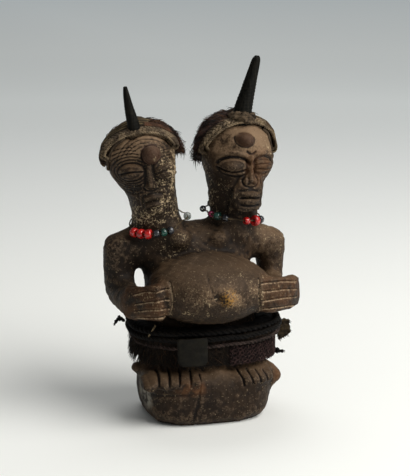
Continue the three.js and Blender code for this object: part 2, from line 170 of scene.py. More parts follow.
def curve_through(points, closed=False, steps=6):
    """A smooth line through points, with `steps` spans between each two."""
    p = np.asarray(points, dtype=float)
    count = len(p)
    ring = lambda i: p[i % count] if closed else p[min(max(i, 0), count - 1)]
    out = []
    for i in range(count if closed else count - 1):
        a, b, c, d = ring(i - 1), ring(i), ring(i + 1), ring(i + 2)
        for k in range(steps):
            t = k / steps
            bend, twist = 2 * a - 5 * b + 4 * c - d, 3 * b - a - 3 * c + d
            out.append(0.5 * (2 * b + (c - a) * t + bend * t * t + twist * t**3))
    if not closed:
        out.append(p[-1])
    return np.array(out)


def distance_to(points, line):
    """Each point's distance from a smooth line, in two or three dimensions."""
    line = curve_through(line) if len(line) > 2 else np.asarray(line, dtype=float)
    nearest = np.full(len(points), 1e9)
    for a, b in zip(line, line[1:]):
        span = b - a
        along = np.clip((points - a) @ span / max(span @ span, 1e-9), 0, 1)
        nearest = np.minimum(nearest, np.linalg.norm(points - a - along[:, None] * span, axis=1))
    return nearest


def far_from(points, middle, half=1.0):
    """Each point's distance from a middle, as many times over as the half sizes go into it."""
    return np.linalg.norm((points - np.array(middle)) / np.array(half), axis=1)


def noise_at(points, scale, seed):
    """Soft noise from -1 to 1 at points, with features about `scale` millimetres across."""
    rng = np.random.default_rng(seed)
    total = np.zeros(len(points))
    waves = 18
    for _ in range(waves):
        way = rng.normal(size=3)
        way *= rng.uniform(0.6, 1.5) / np.linalg.norm(way)
        total += np.sin(points @ way * (2 * math.pi / (2.2 * scale)) + rng.uniform(0, 2 * math.pi))
    return total / math.sqrt(waves / 2) / 1.6


def edges_of(piece):
    pairs = np.empty(len(piece.data.edges) * 2, dtype=np.int32)
    piece.data.edges.foreach_get("vertices", pairs)
    return pairs.reshape(-1, 2)


def blurred(values, edges, rounds):
    """Values at points, each round moved half-way to the mean of their neighbours."""
    values = np.array(values, dtype=float)
    flat = values.ndim == 1
    if flat:
        values = values[:, None]
    a, b = edges[:, 0], edges[:, 1]
    count = len(values)
    share = 1 / np.maximum(np.bincount(a, minlength=count) + np.bincount(b, minlength=count), 1)
    for _ in range(rounds):
        for k in range(values.shape[1]):
            column = values[:, k]
            mean = (
                np.bincount(a, weights=column[b], minlength=count)
                + np.bincount(b, weights=column[a], minlength=count)
            ) * share
            values[:, k] = 0.5 * (column + mean)
    return values[:, 0] if flat else values


def rounded_forms(points, edges):
    """Takes the facets out of a carved shape and keeps its features: a wide smoothing where it hardly moves the
    surface, and a narrow one where it would."""
    base = blurred(points, edges, 8)
    for rounds, little, much in ((50, 0.7, 1.7), (170, 0.7, 1.8)):
        wide = blurred(base, edges, rounds)
        wide += blurred(base - wide, edges, rounds)
        moved = np.linalg.norm(wide - base, axis=1)
        share = blurred(between(moved, much, little), edges, 12)
        base = base + (wide - base) * share[:, None]
    return base


# Lines and domes carved in the two faces, in each head's own frame: across and up, in millimetres.
# A line is (points, half width, height) and a dome is (middle, half sizes, height, edge), with a height below
# nought for a groove or a hollow, and an edge of 0.5 for a steep rim or 2 for one that fades away.
def arc(middle, half, start, end, count=9):
    angles = np.radians(np.linspace(start, end, count))
    return [(middle[0] + half[0] * math.cos(a), middle[1] + half[1] * math.sin(a)) for a in angles]


def left_face_lines():
    """Rings of fine grooves round the eyes and along the brow, a ribbed nose and a boxed mouth."""
    lines = []
    for k in range(6):
        half = (11.8 + 2.7 * k, 8.2 + 2.6 * k)
        lines.append((arc((-15.2, 57.8), half, 34 + 10 * k, 322 - 11 * k, 15), 0.62, -1.15 + 0.06 * k))
    for k in range(5):
        half = (10.2 + 2.5 * k, 7.4 + 2.4 * k)
        lines.append((arc((15.0, 54.0), half, 146 - 8 * k, 24, 9), 0.6, -1.0 + 0.05 * k))
        lines.append((arc((15.0, 54.0), half, 208 + 5 * k, 340, 9), 0.6, -1.0 + 0.1 * k))
    for k in range(4):
        half = (27.5 - 2.8 * k, 28.5 - 2.7 * k)
        lines.append((arc((-1.0, 58.0), half, 158 - 9 * k, 22 + 9 * k, 15), 0.6, -0.75))
    for k in range(3):
        low = 44.0 - 3.2 * k
        lines.append(([(-23.0 + 1.6 * k, low + 3), (-17.5 + k, low - 0.6), (-9.0, low + 0.6)], 0.6, -0.9))
    lines += [
        ([(-25.0, 56.4), (-20.0, 57.6), (-14.0, 58.2), (-6.0, 57.2)], 0.65, -1.9),
        (arc((-15.2, 57.6), (9.6, 5.2), 12, 168), 0.8, 0.8),
        (arc((-15.2, 57.6), (9.6, 5.0), 192, 348), 0.8, 0.7),
        ([(5.6, 53.0), (12.0, 54.4), (18.0, 54.2), (24.0, 52.6)], 0.65, -1.7),
        (arc((15.0, 54.0), (8.6, 4.8), 12, 168), 0.75, 0.7),
        (arc((15.0, 54.0), (8.6, 4.6), 192, 348), 0.75, 0.6),
        (arc((4.0, 70.3), (8.8, 8.6), 0, 360, 25), 0.7, -1.3),
        ([(-3.6, 61.0), (-4.0, 53.0), (-6.0, 44.5)], 1.0, -1.5),
        ([(3.8, 61.0), (3.6, 53.0), (5.4, 44.5)], 1.0, -1.5),
        ([(0.2, 62.5), (-0.1, 54.0), (-0.4, 44.0)], 1.5, 1.7),
        ([(-6.6, 42.0), (-4.2, 39.2), (0.0, 38.2), (4.4, 39.2), (6.4, 41.8)], 0.8, -1.6),
        ([(-8.0, 35.0), (0.4, 36.0), (8.4, 34.2)], 0.7, -1.1),
        ([(-7.2, 31.8), (0.4, 32.6), (7.6, 31.2)], 0.8, 1.4),
        ([(-6.8, 28.6), (0.4, 29.2), (7.2, 27.8)], 0.7, -1.9),
        ([(-6.8, 25.6), (0.4, 26.0), (7.0, 24.8)], 0.75, 1.2),
        ([(-6.8, 22.7), (0.2, 22.9), (6.8, 21.9)], 0.7, -1.8),
        ([(-6.6, 19.8), (0.0, 19.8), (6.4, 19.0)], 0.75, 1.1),
        ([(-9.2, 35.0), (-9.6, 27.0), (-8.6, 18.6)], 0.8, -1.1),
        ([(9.4, 34.0), (9.6, 26.0), (8.6, 17.6)], 0.8, -1.1),
        ([(-12.4, 37.0), (-12.6, 27.0), (-11.4, 17.0)], 0.7, -0.7),
        ([(12.8, 36.0), (13.0, 26.0), (11.6, 16.0)], 0.7, -0.7),
    ]
    return lines


LEFT_FACE_DOMES = [
    ((-15.2, 57.8), (11.6, 8.0), 2.6, 1.0),
    ((15.0, 54.0), (10.4, 7.2), 2.3, 1.0),
    ((4.0, 70.3), (7.9, 7.7), 4.4, 0.5),
    ((-3.7, 42.8), (2.7, 2.8), 1.3, 1.0),
    ((3.6, 42.6), (2.7, 2.8), 1.3, 1.0),
    ((0.3, 27.0), (9.0, 10.0), 1.4, 0.8),
    ((-17.0, 41.0), (9.0, 7.0), -1.0, 2.0),
    ((16.0, 38.0), (8.0, 8.0), -1.2, 2.0),
]


def right_face_lines():
    """Heavy lids under arched brows, a long nose, parted lips and a square, edged chin."""
    left, right = (-13.6, 55.0), (13.4, 56.0)
    lines = [
        (arc(left, (13.4, 8.8), 16, 166, 11), 1.0, -1.9),
        (arc(left, (15.0, 12.6), 28, 152, 11), 1.1, 1.0),
        (arc(right, (11.4, 8.6), 14, 166, 11), 1.0, -1.8),
        (arc(right, (13.2, 12.2), 30, 150, 11), 1.1, 0.9),
        ([(-26.0, 53.2), (-20.0, 51.6), (-13.0, 51.0), (-3.4, 52.8)], 0.7, -2.2),
        (arc((-13.8, 54.0), (11.6, 6.6), 14, 166, 11), 0.8, 0.8),
        ([(-23.0, 50.2), (-14.0, 48.4), (-5.0, 50.2)], 0.9, 1.1),
        (arc(left, (12.6, 8.6), 200, 340, 11), 0.8, -1.3),
        ([(4.2, 53.4), (11.0, 53.8), (17.0, 53.6), (24.0, 52.8)], 0.6, -2.0),
        ([(5.0, 57.2), (12.0, 58.0), (22.0, 56.6)], 0.55, -1.3),
        ([(5.0, 60.6), (12.0, 61.6), (21.0, 60.0)], 0.5, -0.8),
        ([(5.0, 50.6), (12.0, 50.0), (22.0, 50.6)], 0.55, -0.9),
        (arc(right, (10.8, 8.0), 200, 340, 11), 0.8, -1.4),
        (arc((-5.0, 79.0), (9.0, 6.6), 160, 380, 21), 0.6, -0.8),
        ([(-3.4, 68.6), (0.8, 66.4), (4.8, 68.4)], 0.9, -1.4),
        ([(0.8, 65.0), (0.6, 54.0), (0.0, 44.4)], 1.5, 2.3),
        ([(-3.4, 61.0), (-3.6, 52.0), (-6.8, 44.6)], 1.0, -1.7),
        ([(4.8, 61.0), (4.4, 52.0), (6.8, 44.6)], 1.0, -1.7),
        ([(-7.8, 43.6), (-6.0, 39.6), (0.0, 37.6), (6.0, 39.6), (7.8, 43.6)], 0.8, -1.6),
        ([(-9.6, 34.4), (0.0, 36.0), (9.6, 34.2)], 0.8, -1.3),
        ([(-9.0, 28.0), (-3.0, 29.0), (3.0, 28.6), (9.0, 28.0)], 0.8, -2.4),
        ([(-8.4, 22.0), (0.0, 21.4), (8.4, 22.0)], 0.9, -1.7),
        ([(-13.0, 35.0), (-12.6, 27.0), (-12.2, 15.0)], 0.9, 1.3),
        ([(-15.8, 35.0), (-15.2, 27.0), (-14.6, 15.0)], 1.0, -1.3),
        ([(12.8, 35.0), (12.6, 27.0), (12.2, 15.0)], 0.9, 1.0),
        ([(-11.0, 17.4), (0.0, 17.0), (12.0, 17.4)], 0.8, 0.9),
        ([(-9.6, 47.0), (-13.0, 40.0), (-14.6, 34.0)], 1.2, -0.9),
        ([(10.0, 47.0), (13.0, 40.0), (14.4, 34.0)], 1.2, -0.9),
    ]
    return lines


RIGHT_FACE_DOMES = [
    ((-13.6, 55.0), (12.8, 7.6), 2.7, 1.0),
    ((13.4, 56.0), (10.6, 7.2), 1.9, 1.0),
    ((-5.0, 79.0), (8.2, 5.9), 1.3, 1.0),
    ((-14.0, 66.5), (13.5, 5.5), 1.3, 1.6),
    ((13.0, 67.0), (12.0, 5.0), 1.1, 1.6),
    ((-4.6, 43.0), (3.0, 3.2), 1.8, 1.0),
    ((4.6, 43.0), (3.0, 3.2), 1.8, 1.0),
    ((-2.4, 40.6), (1.4, 1.0), -1.2, 1.0),
    ((2.4, 40.6), (1.4, 1.0), -1.2, 1.0),
    ((0.0, 31.6), (8.8, 2.9), 1.9, 0.8),
    ((0.0, 25.2), (8.0, 2.9), 1.8, 0.8),
    ((-17.0, 43.0), (9.0, 8.0), -1.7, 2.0),
    ((16.5, 43.0), (8.0, 8.0), -1.4, 2.0),
]

# Lines and domes on the body, seen from the front.
BELLY_CRACK = [(-13.2, 144.0), (-13.6, 138.1), (-12.9, 133.7), (-11.4, 127.0), (-9.0, 121.0)]
BLOCK_CRACK = [(-15.0, 47.0), (-16.4, 36.1), (-18.4, 21.6), (-21.5, 7.3), (-22.5, 2.0)]
LEFT_FINGERS = [
    [(-73.5, 123.5), (-63.8, 128.4), (-46.5, 130.6)],
    [(-73.0, 115.6), (-60.9, 120.6), (-46.2, 122.4)],
    [(-72.5, 109.2), (-61.1, 113.4), (-46.2, 114.2)],
    [(-71.5, 103.2), (-59.1, 106.6), (-46.5, 107.2)],
]
RIGHT_FINGERS = [
    [(34.5, 131.2), (47.0, 131.2), (61.0, 129.4), (72.5, 126.4)],
    [(35.0, 124.4), (48.0, 124.2), (61.0, 122.8), (73.5, 119.6)],
    [(35.0, 116.0), (47.2, 116.6), (60.0, 115.6), (73.5, 112.6)],
    [(37.0, 108.2), (46.0, 108.8), (58.0, 107.6), (71.5, 105.4)],
]
FINGER_TIPS = [
    [(-44.6, 135.0), (-44.2, 126.0), (-44.0, 116.0), (-45.0, 104.0)],
    [(33.4, 135.0), (32.4, 126.0), (32.8, 116.0), (36.0, 105.0)],
]
TOES = [(-56.8, 45.0), (-48.2, 45.0), (-38.8, 44.6), (-29.6, 44.0), (-19.6, 42.0),
        (27.6, 41.0), (35.6, 41.0), (43.4, 40.6), (50.6, 40.0)]
TOE_LINES = [
    [(-50.0, 51.0), (-53.0, 45.5), (-53.6, 41.0)],
    [(-40.0, 51.0), (-43.6, 45.0), (-44.4, 40.0)],
    [(-30.8, 51.0), (-34.2, 45.0), (-35.4, 40.0)],
    [(-22.2, 50.0), (-24.4, 44.0), (-25.2, 39.0)],
    [(21.0, 47.0), (23.4, 41.0), (24.0, 36.0)],
    [(29.4, 47.0), (31.6, 41.0), (32.4, 37.0)],
    [(37.4, 46.0), (39.6, 41.0), (40.6, 37.0)],
    [(45.0, 45.0), (47.0, 41.0), (48.0, 37.0)],
]
FOOT_EDGE = [(-60.0, 27.0), (-46.3, 29.8), (-34.1, 30.6), (-24.0, 30.8), (-17.0, 32.0)]
BODY_DOMES = [
    ((-25.6, 162.4), (12.5, 10.0), 2.3, 1.4),
    ((10.5, 161.0), (12.0, 9.5), 1.1, 1.6),
    ((2.4, 123.2), (6.0, 4.6), 1.7, 0.8),
    ((-8.0, 124.8), (4.2, 4.6), -2.0, 1.2),
]


def raised(flat, lines, domes, front):
    """How far each point rises, and how deep it is cut, for lines and domes seen from the front."""
    height, cut = np.zeros(len(flat)), np.zeros(len(flat))
    near = np.nonzero(front > 0.01)[0]
    for middle, half, rise, edge in domes:
        away = np.linalg.norm((flat[near] - np.array(middle)) / np.array(half), axis=1)
        height[near] += rise * np.clip(1 - away**2, 0, 1) ** edge * front[near]
    for line, half, rise in lines:
        away = distance_to(flat[near], line)
        share = ease(1 - away / (2 * half)) * front[near]
        height[near] += rise * share
        if rise < 0:
            cut[near] = np.maximum(cut[near], -rise * share)
    return height, cut


def face_front(head, points, normals):
    """1 on the front of a face, fading to 0 round its sides."""
    own = in_head(head, points)
    facing = -(normals @ head_turn(head))[:, 1]
    front = between(facing, 0.12, 0.45) * between(own[:, 2], 8, 14) * (own[:, 1] < -8)
    return own[:, [0, 2]], front * (np.abs(own[:, 0]) < 40) * (own[:, 2] < 110)


def carving(points, normals):
    """All the carving over the rounded form: how far each point rises, how deep it is cut, and the pale lips of
    the grooves between the fingers."""
    height, cut = np.zeros(len(points)), np.zeros(len(points))
    faces = (
        (LEFT_HEAD, left_face_lines(), LEFT_FACE_DOMES),
        (RIGHT_HEAD, right_face_lines(), RIGHT_FACE_DOMES),
    )
    for head, lines, domes in faces:
        flat, front = face_front(head, points, normals)
        rise, depth = raised(flat, lines, domes, front)
        height, cut = height + rise, np.maximum(cut, depth)
    flat = points[:, [0, 2]]
    facing = between(-normals[:, 1], 0.0, 0.35)
    hands = facing * (points[:, 1] < -28) * between(points[:, 2], 96, 99) * between(points[:, 2], 141, 138)
    fingers = [(line, 0.5, -1.2) for line in LEFT_FINGERS + RIGHT_FINGERS]
    fingers += [(line, 0.7, -1.2) for line in FINGER_TIPS]
    rise, depth = raised(flat, fingers, [], hands)
    for side, tips in ((-1, -44.8), (1, 33.6)):
        over = between((points[:, 0] - tips) * side, -0.4, 0.9) * between(np.abs(points[:, 2] - 119), 18, 15)
        rise += 0.9 * over * hands
    height, cut = height + rise, np.maximum(cut, 0.6 * depth)
    lips = [([(x, z - 1.0) for x, z in line], 0.6, -1.0) for line in LEFT_FINGERS + RIGHT_FINGERS]
    _, pale = raised(flat, lips + [(line, 0.8, -0.9) for line in FINGER_TIPS], [], hands)
    belly = facing * (points[:, 1] < -40) * between(points[:, 2], 116, 119) * (points[:, 2] < 150)
    rise, depth = raised(flat, [(BELLY_CRACK, 0.4, -0.9)], [], belly)
    height, cut = height + rise, np.maximum(cut, depth)
    chest = between(-normals[:, 1], -0.2, 0.2) * (points[:, 1] < -6)
    rise, _ = raised(flat, [], BODY_DOMES, chest)
    height += rise
    toes = between(points[:, 1], -30, -36) * between(points[:, 2], 24, 27) * (points[:, 2] < 52)
    gaps = [(line, 0.75, -1.7) for line in TOE_LINES] + [(FOOT_EDGE, 0.9, -0.8)]
    rise, depth = raised(flat, gaps, [(toe, (4.4, 6.0), 1.1, 0.8) for toe in TOES], toes)
    height, cut = height + rise, np.maximum(cut, depth)
    block = facing * (points[:, 1] < -35) * (points[:, 2] < 50)
    rise, depth = raised(flat, [(BLOCK_CRACK, 0.7, -1.1)], [], block)
    return height + rise, np.maximum(cut, depth), pale


def rough_wood(points):
    """The adze's shallow flats, small dents and an uneven skin, less on the smooth belly."""
    smooth = between(far_from(points, (-3.0, -60.0, 124.0), (1.3, 1, 0.75)), 30, 44)
    height = 0.32 * noise_at(points, 9, 11) + 0.2 * noise_at(points, 3.6, 12) + 0.1 * noise_at(points, 1.7, 13)
    return height * (0.35 + 0.65 * smooth)


def split_finer(piece, wanted):
    """Halves the faces whose middles are wanted, for finer carving there."""
    centres = np.empty(len(piece.data.polygons) * 3)
    piece.data.polygons.foreach_get("center", centres)
    chosen = wanted(centres.reshape(-1, 3) / MM)
    pick(piece)
    bpy.ops.object.mode_set(mode="EDIT")
    bpy.ops.mesh.select_mode(type="FACE")
    bpy.ops.mesh.select_all(action="DESELECT")
    bpy.ops.object.mode_set(mode="OBJECT")
    piece.data.polygons.foreach_set("select", chosen)
    bpy.ops.object.mode_set(mode="EDIT")
    bpy.ops.mesh.subdivide(number_cuts=1)
    bpy.ops.object.mode_set(mode="OBJECT")


def finely_carved(points):
    """Where the faces, hands and toes are."""
    fine = np.zeros(len(points), dtype=bool)
    for head in (LEFT_HEAD, RIGHT_HEAD):
        own = in_head(head, points)
        fine |= (own[:, 1] < -12) & (own[:, 2] > 12) & (own[:, 2] < 94) & (np.abs(own[:, 0]) < 33)
    x, y, z = points.T
    fine |= (y < -34) & (z > 98) & (z < 138) & ((x < -42) | (x > 31))
    return fine | ((y < -38) & (z > 30) & (z < 51))


# The share of the wood's faces that stay when the even parts are made plainer, for a piece under 200,000 faces.
PLAIN_WOOD_KEPT = 0.63


def carved_wood():
    piece = copy_of("carved_figure", "figure_wood")
    finish_with(piece, "REMESH", mode="VOXEL", voxel_size=1.45 * MM)
    place_points(piece, rounded_forms(points_of(piece), edges_of(piece)))
    split_finer(piece, finely_carved)
    edges = edges_of(piece)
    points = blurred(points_of(piece), edges, 2)
    place_points(piece, points)
    normals = points_of(piece, "normal")
    height, cut, pale = carving(points, normals)
    points = points + normals * (height + rough_wood(points))[:, None]
    under = points[:, 2] < 1.2
    points[:, 2] = np.where(under, np.maximum(points[:, 2] * 0.15, 0), points[:, 2])
    place_points(piece, points)
    store(piece, "cut", cut)
    store(piece, "finger", pale)
    paint_wood(piece)
    finish_with(piece, "DECIMATE", ratio=PLAIN_WOOD_KEPT)
    place_points(piece, np.maximum(points_of(piece), (-1e3, -1e3, 0)))
    return settle(piece, wood_material(), "wood", "carved_figure")


def paint_wood(piece):
    """Where the wood is hollow, crusted, rubbed and pale with wear, and where its own dark wood and painted shade
    darken it.
    """
    points, normals = points_of(piece), points_of(piece, "normal")
    edges = edges_of(piece)
    soft = blurred(points, edges, 14)
    hollow = blurred(np.einsum("ij,ij->i", soft - points, normals), edges, 1)
    left, right = in_head(LEFT_HEAD, points), in_head(RIGHT_HEAD, points)
    crust = between(left[:, 0], -6, 14) * between(left[:, 2], 4, 12) * between(left[:, 2], 84, 62)
    crust = np.maximum(crust, between(left[:, 2], 38, 24) * between(left[:, 2], 2, 8) * 0.9)
    crust *= between(np.hypot(left[:, 0], left[:, 1]), 60, 48)
    neck = between(right[:, 2], 46, 34) * between(right[:, 2], 0, 6) * between(right[:, 0], -8, -18) * 0.6
    crust = np.maximum(crust, neck * between(np.hypot(right[:, 0], right[:, 1]), 50, 40))
    chest = between(far_from(points, (-28.0, -22.0, 158.0), (1.6, 1, 1)), 20, 6)
    crust = np.maximum(crust, 0.55 * chest)
    x, y, z = points.T
    sprinkled = between(y, -40, -60) * between(z, 104, 110) * between(z, 150, 128) * 0.34
    sprinkled = np.maximum(sprinkled, 0.3 * between(x, 40, 60) * between(z, 100, 130))
    crust = np.maximum(crust, sprinkled)
    navel = between(far_from(points, (2.5, -86.0, 123.5)), 11, 4)
    toes = between(far_from(points, (-25.0, -60.0, 37.0), (1.5, 1, 0.7)), 14, 6)
    lobe = between(far_from(points, (63.0, -20.0, 33.0)), 19, 9)
    patch = between(far_from(points, (-59.0, -22.0, 26.0), (1, 1.3, 1)), 17, 10)
    right_face = between(far_from(right, (9.0, -30.0, 55.0)), 22, 9)
    bosses = between(far_from(left[:, [0, 2]], (4.0, 70.3)), 9.5, 7.5) * (left[:, 1] < -10)
    bosses += between(far_from(right[:, [0, 2]], (-5.0, 79.0), (1.3, 1)), 7, 5.5) * (right[:, 1] < -10)
    hands = between(y, -30, -40) * between(np.abs(z - 118), 22, 16) * between(np.abs(x + 5), 40, 44)
    store(piece, "hollow", hollow)
    store(piece, "crust", crust)
    store(piece, "navel", navel)
    store(piece, "rub", np.clip(toes + lobe + 0.6 * right_face + 0.5 * hands, 0, 1))
    store(piece, "boss", np.clip(bosses, 0, 1))
    store(piece, "patch", patch * (x < -50))
    brow = between(left[:, 2], 62, 76) * (left[:, 1] < 0) + between(right[:, 2], 60, 72) * (right[:, 1] < 0)
    belly = between(far_from(points, (2.0, -70.0, 124.0), (1.7, 1.5, 0.6)), 26, 8)
    shoulder = between(far_from(points, (58.0, -10.0, 158.0), (1, 1, 1.4)), 24, 8)
    store(piece, "dusty", np.clip(brow + belly + 0.35 * shoulder, 0, 1) * (1 - bosses))
    across, high = right[:, 0], right[:, 2]
    # Darker wood: on the block and feet, the wood's own dark colour. Elsewhere, painted shade on what turns from
    # the key light or lies under something: the left arm and hand, the chest and necks below the heads, the waist
    # under the belly, the belly's top under the chest, the right head's left cheek, chin and mouth, and a ring
    # round its left eye.
    sooty_and_shaded = (
        0.75 * between(z, 52, 40) * (1 - lobe),
        1.15 * between(x, -42, -58) * between(z, 106, 118) * between(z, 178, 160),
        0.5 * between(x, -40, -50) * between(z, 96, 102) * between(z, 130, 120) * (y < -20),
        0.7 * between(z, 142, 150) * between(z, 182, 174) * between(x, 42, 26) * (y < 10),
        0.6 * between(z, 112, 104) * between(z, 50, 56),
        0.75 * between(across, -12, -22) * between(high, 52, 44) * (high > 0),
        0.9 * between(high, 40, 24) * between(high, -4, 6),
        0.5 * between(z, 128, 140) * between(z, 152, 146) * (y < -40),
        0.7 * between(np.abs(across), 15, 10) * between(high, 40, 34) * between(high, 10, 16) * (right[:, 1] < -15),
        0.6 * between(far_from(right[:, [0, 2]], (-13.6, 52.0), (13, 8)), 1.2, 0.7) * (right[:, 1] < -10),
    )
    store(piece, "soot_and_shade", blurred(np.maximum.reduce(sooty_and_shaded), edges, 6))


# Lines, cords and hair.
def evenly(line, step, closed=False):
    """A line's points again, an even distance apart."""
    line = np.vstack([line, line[:1]]) if closed else np.asarray(line)
    along = np.concatenate([[0], np.cumsum(np.linalg.norm(np.diff(line, axis=0), axis=1))])
    count = max(2, int(round(along[-1] / step)))
    places = np.linspace(0, along[-1], count + 1)
    if closed:
        places = places[:-1]
    return np.stack([np.interp(places, along, line[:, k]) for k in range(3)], axis=1)


def unit(vectors):
    return vectors / np.maximum(np.linalg.norm(vectors, axis=-1, keepdims=True), 1e-9)


def directions(line, closed=False):
    if closed:
        return unit(np.roll(line, -1, axis=0) - np.roll(line, 1, axis=0))
    return unit(np.gradient(line, axis=0))


def lengths_along(line):
    return np.concatenate([[0], np.cumsum(np.linalg.norm(np.diff(line, axis=0), axis=1))])


def wound(line, out, radius, count, pitch, closed=False):
    """The strands of a twisted cord: thinner lines that wind round the cord's own."""
    along = lengths_along(line)
    if closed:
        total = along[-1] + np.linalg.norm(line[0] - line[-1])
        pitch = total / max(1, round(total / pitch))
    side = np.cross(directions(line, closed), out)
    for k in range(count):
        angle = 2 * math.pi * (along / pitch + k / count)
        yield line + radius * (np.cos(angle)[:, None] * out + np.sin(angle)[:, None] * side)


def plaited(line, out, half, thick, pitch):
    """The three strands of a flat plait."""
    along = lengths_along(line)
    side = np.cross(directions(line), out)
    for k in range(3):
        angle = 2 * math.pi * (along / pitch + k / 3)
        yield line + half * np.sin(angle)[:, None] * side + thick * np.sin(2 * angle)[:, None] * out


def tubes(name, runs, sides=6):
    """One piece made of round cords. Each run is (line, radius or radii, closed, tone)."""
    points, faces, along, tones = [], [], [], []
    start = 0
    for line, radius, closed, tone in runs:
        line = np.asarray(line)
        count = len(line)
        ahead = directions(line, closed)
        guide = np.array((0.0, 0.0, 1.0)) if abs(ahead[:, 2]).mean() < 0.7 else np.array((0.0, 1.0, 0.0))
        side = unit(np.cross(ahead, guide))
        up = np.cross(side, ahead)
        radius = np.broadcast_to(np.asarray(radius, dtype=float), (count,))
        angles = 2 * math.pi * np.arange(sides) / sides
        ring = np.cos(angles)[None, :, None] * side[:, None] + np.sin(angles)[None, :, None] * up[:, None]
        points.append((line[:, None] + ring * radius[:, None, None]).reshape(-1, 3))
        for i in range(count if closed else count - 1):
            j = (i + 1) % count
            for k in range(sides):
                m = (k + 1) % sides
                a, b = start + i * sides, start + j * sides
                faces.append((a + k, b + k, b + m, a + m))
        if not closed:
            faces.append(tuple(start + k for k in range(sides)))
            faces.append(tuple(start + (count - 1) * sides + k for k in reversed(range(sides))))
        along.append(np.repeat(lengths_along(line), sides))
        tones.append(np.full(count * sides, tone))
        start += count * sides
    piece = piece_of(name, np.vstack(points), faces)
    store(piece, "along", np.concatenate(along))
    store(piece, "tone", np.concatenate(tones))
    pick(piece)
    bpy.ops.object.mode_set(mode="EDIT")
    bpy.ops.mesh.select_all(action="SELECT")
    bpy.ops.mesh.normals_make_consistent(inside=False)
    bpy.ops.object.mode_set(mode="OBJECT")
    return piece


def hairs(name, paths, thick, tones):
    """One piece of fine tapered hairs. paths holds each hair's points from root to tip."""
    count, rings = paths.shape[:2]
    ahead = unit(np.gradient(paths, axis=1))
    guide = unit(np.cross(ahead, np.array((0.31, 0.52, 0.79))))
    other = np.cross(ahead, guide)
    taper = (1 - np.linspace(0, 1, rings)) ** 0.6
    taper[-1] = 0.12
    angles = 2 * math.pi * np.arange(3) / 3
    ring = np.cos(angles)[:, None] * guide[:, :, None] + np.sin(angles)[:, None] * other[:, :, None]
    radius = np.asarray(thick).reshape(-1, 1) * taper
    points = paths[:, :, None] + ring * radius[:, :, None, None]
    faces = []
    one = []
    for i in range(rings - 1):
        for k in range(3):
            m = (k + 1) % 3
            one.append((i * 3 + k, i * 3 + m, i * 3 + 3 + m, i * 3 + 3 + k))
    for h in range(count):
        start = h * rings * 3
        faces += [tuple(start + v for v in face) for face in one]
        faces.append((start + 2, start + 1, start))
        last = start + rings * 3 - 3
        faces.append((last, last + 1, last + 2))
    piece = piece_of(name, points.reshape(-1, 3), faces)
    store(piece, "tone", np.repeat(tones, rings * 3))
    store(piece, "tip", np.tile(np.repeat(np.linspace(0, 1, rings), 3), count))
    return piece


def scattered(piece, count, rng, keep=None):
    """Points spread evenly over a piece's faces, with the faces' directions."""
    mesh = piece.data
    mesh.calc_loop_triangles()
    corners = np.empty(len(mesh.loop_triangles) * 3, dtype=np.int32)
    mesh.loop_triangles.foreach_get("vertices", corners)
    a, b, c = points_of(piece)[corners.reshape(-1, 3)].transpose(1, 0, 2)
    cross = np.cross(b - a, c - a)
    area = np.linalg.norm(cross, axis=1)
    normal = unit(cross)
    if keep is not None:
        area = area * keep((a + b + c) / 3, normal)
    chosen = rng.choice(len(area), count, p=area / area.sum())
    u, v = rng.random((2, count))
    u, v = np.where(u + v > 1, 1 - u, u), np.where(u + v > 1, 1 - v, v)
    places = a[chosen] + u[:, None] * (b - a)[chosen] + v[:, None] * (c - a)[chosen]
    return places, normal[chosen]


def skin_of(*pieces):
    """Something to find the outside of pieces with, in millimetres."""
    points, faces = [], []
    for piece in pieces:
        start = len(points)
        points += [tuple(p) for p in points_of(piece)]
        faces += [[start + i for i in face.vertices] for face in piece.data.polygons]
    return BVHTree.FromPolygons(points, faces)


def over_head(head, skin, behind, start, end, lift, step=1.0):
    """A line over a head, a way behind its hairline, lying on the outside; 0 degrees is +X and 90 is the crown.
    Gives its points and the directions out of the head there."""
    up = np.array((0.0, -HAIRLINE_NORMAL[2], HAIRLINE_NORMAL[1]))
    middle_height = 60.0
    forward = HAIRLINE_FRONT + HAIRLINE_NORMAL[2] / HAIRLINE_NORMAL[1] * (head["crown"] - 9 - middle_height)
    middle = np.array((0.0, forward, middle_height)) + HAIRLINE_NORMAL * behind
    turn = head_turn(head)
    places, outs = [], []
    for angle in np.radians(np.linspace(start, end, 60)):
        way = math.cos(angle) * np.array((1.0, 0.0, 0.0)) + math.sin(angle) * up
        far = out_of_head(head, middle + way * 90)
        spot = skin.ray_cast(Vector(far), Vector(-(turn @ way)))[0]
        if spot is not None:
            places.append(tuple(spot))
            outs.append(turn @ way)
    places, outs = np.array(places), np.array(outs)
    for _ in range(6):
        places[1:-1] = (places[:-2] + 2 * places[1:-1] + places[2:]) / 4
    places = places + outs * lift
    line = evenly(places, step)
    share = np.linspace(0, len(outs) - 1, len(line))
    outs = np.stack([np.interp(share, np.arange(len(outs)), outs[:, k]) for k in range(3)], axis=1)
    ahead = directions(line)
    outs = unit(outs - ahead * np.einsum("ij,ij->i", outs, ahead)[:, None])
    return line, outs


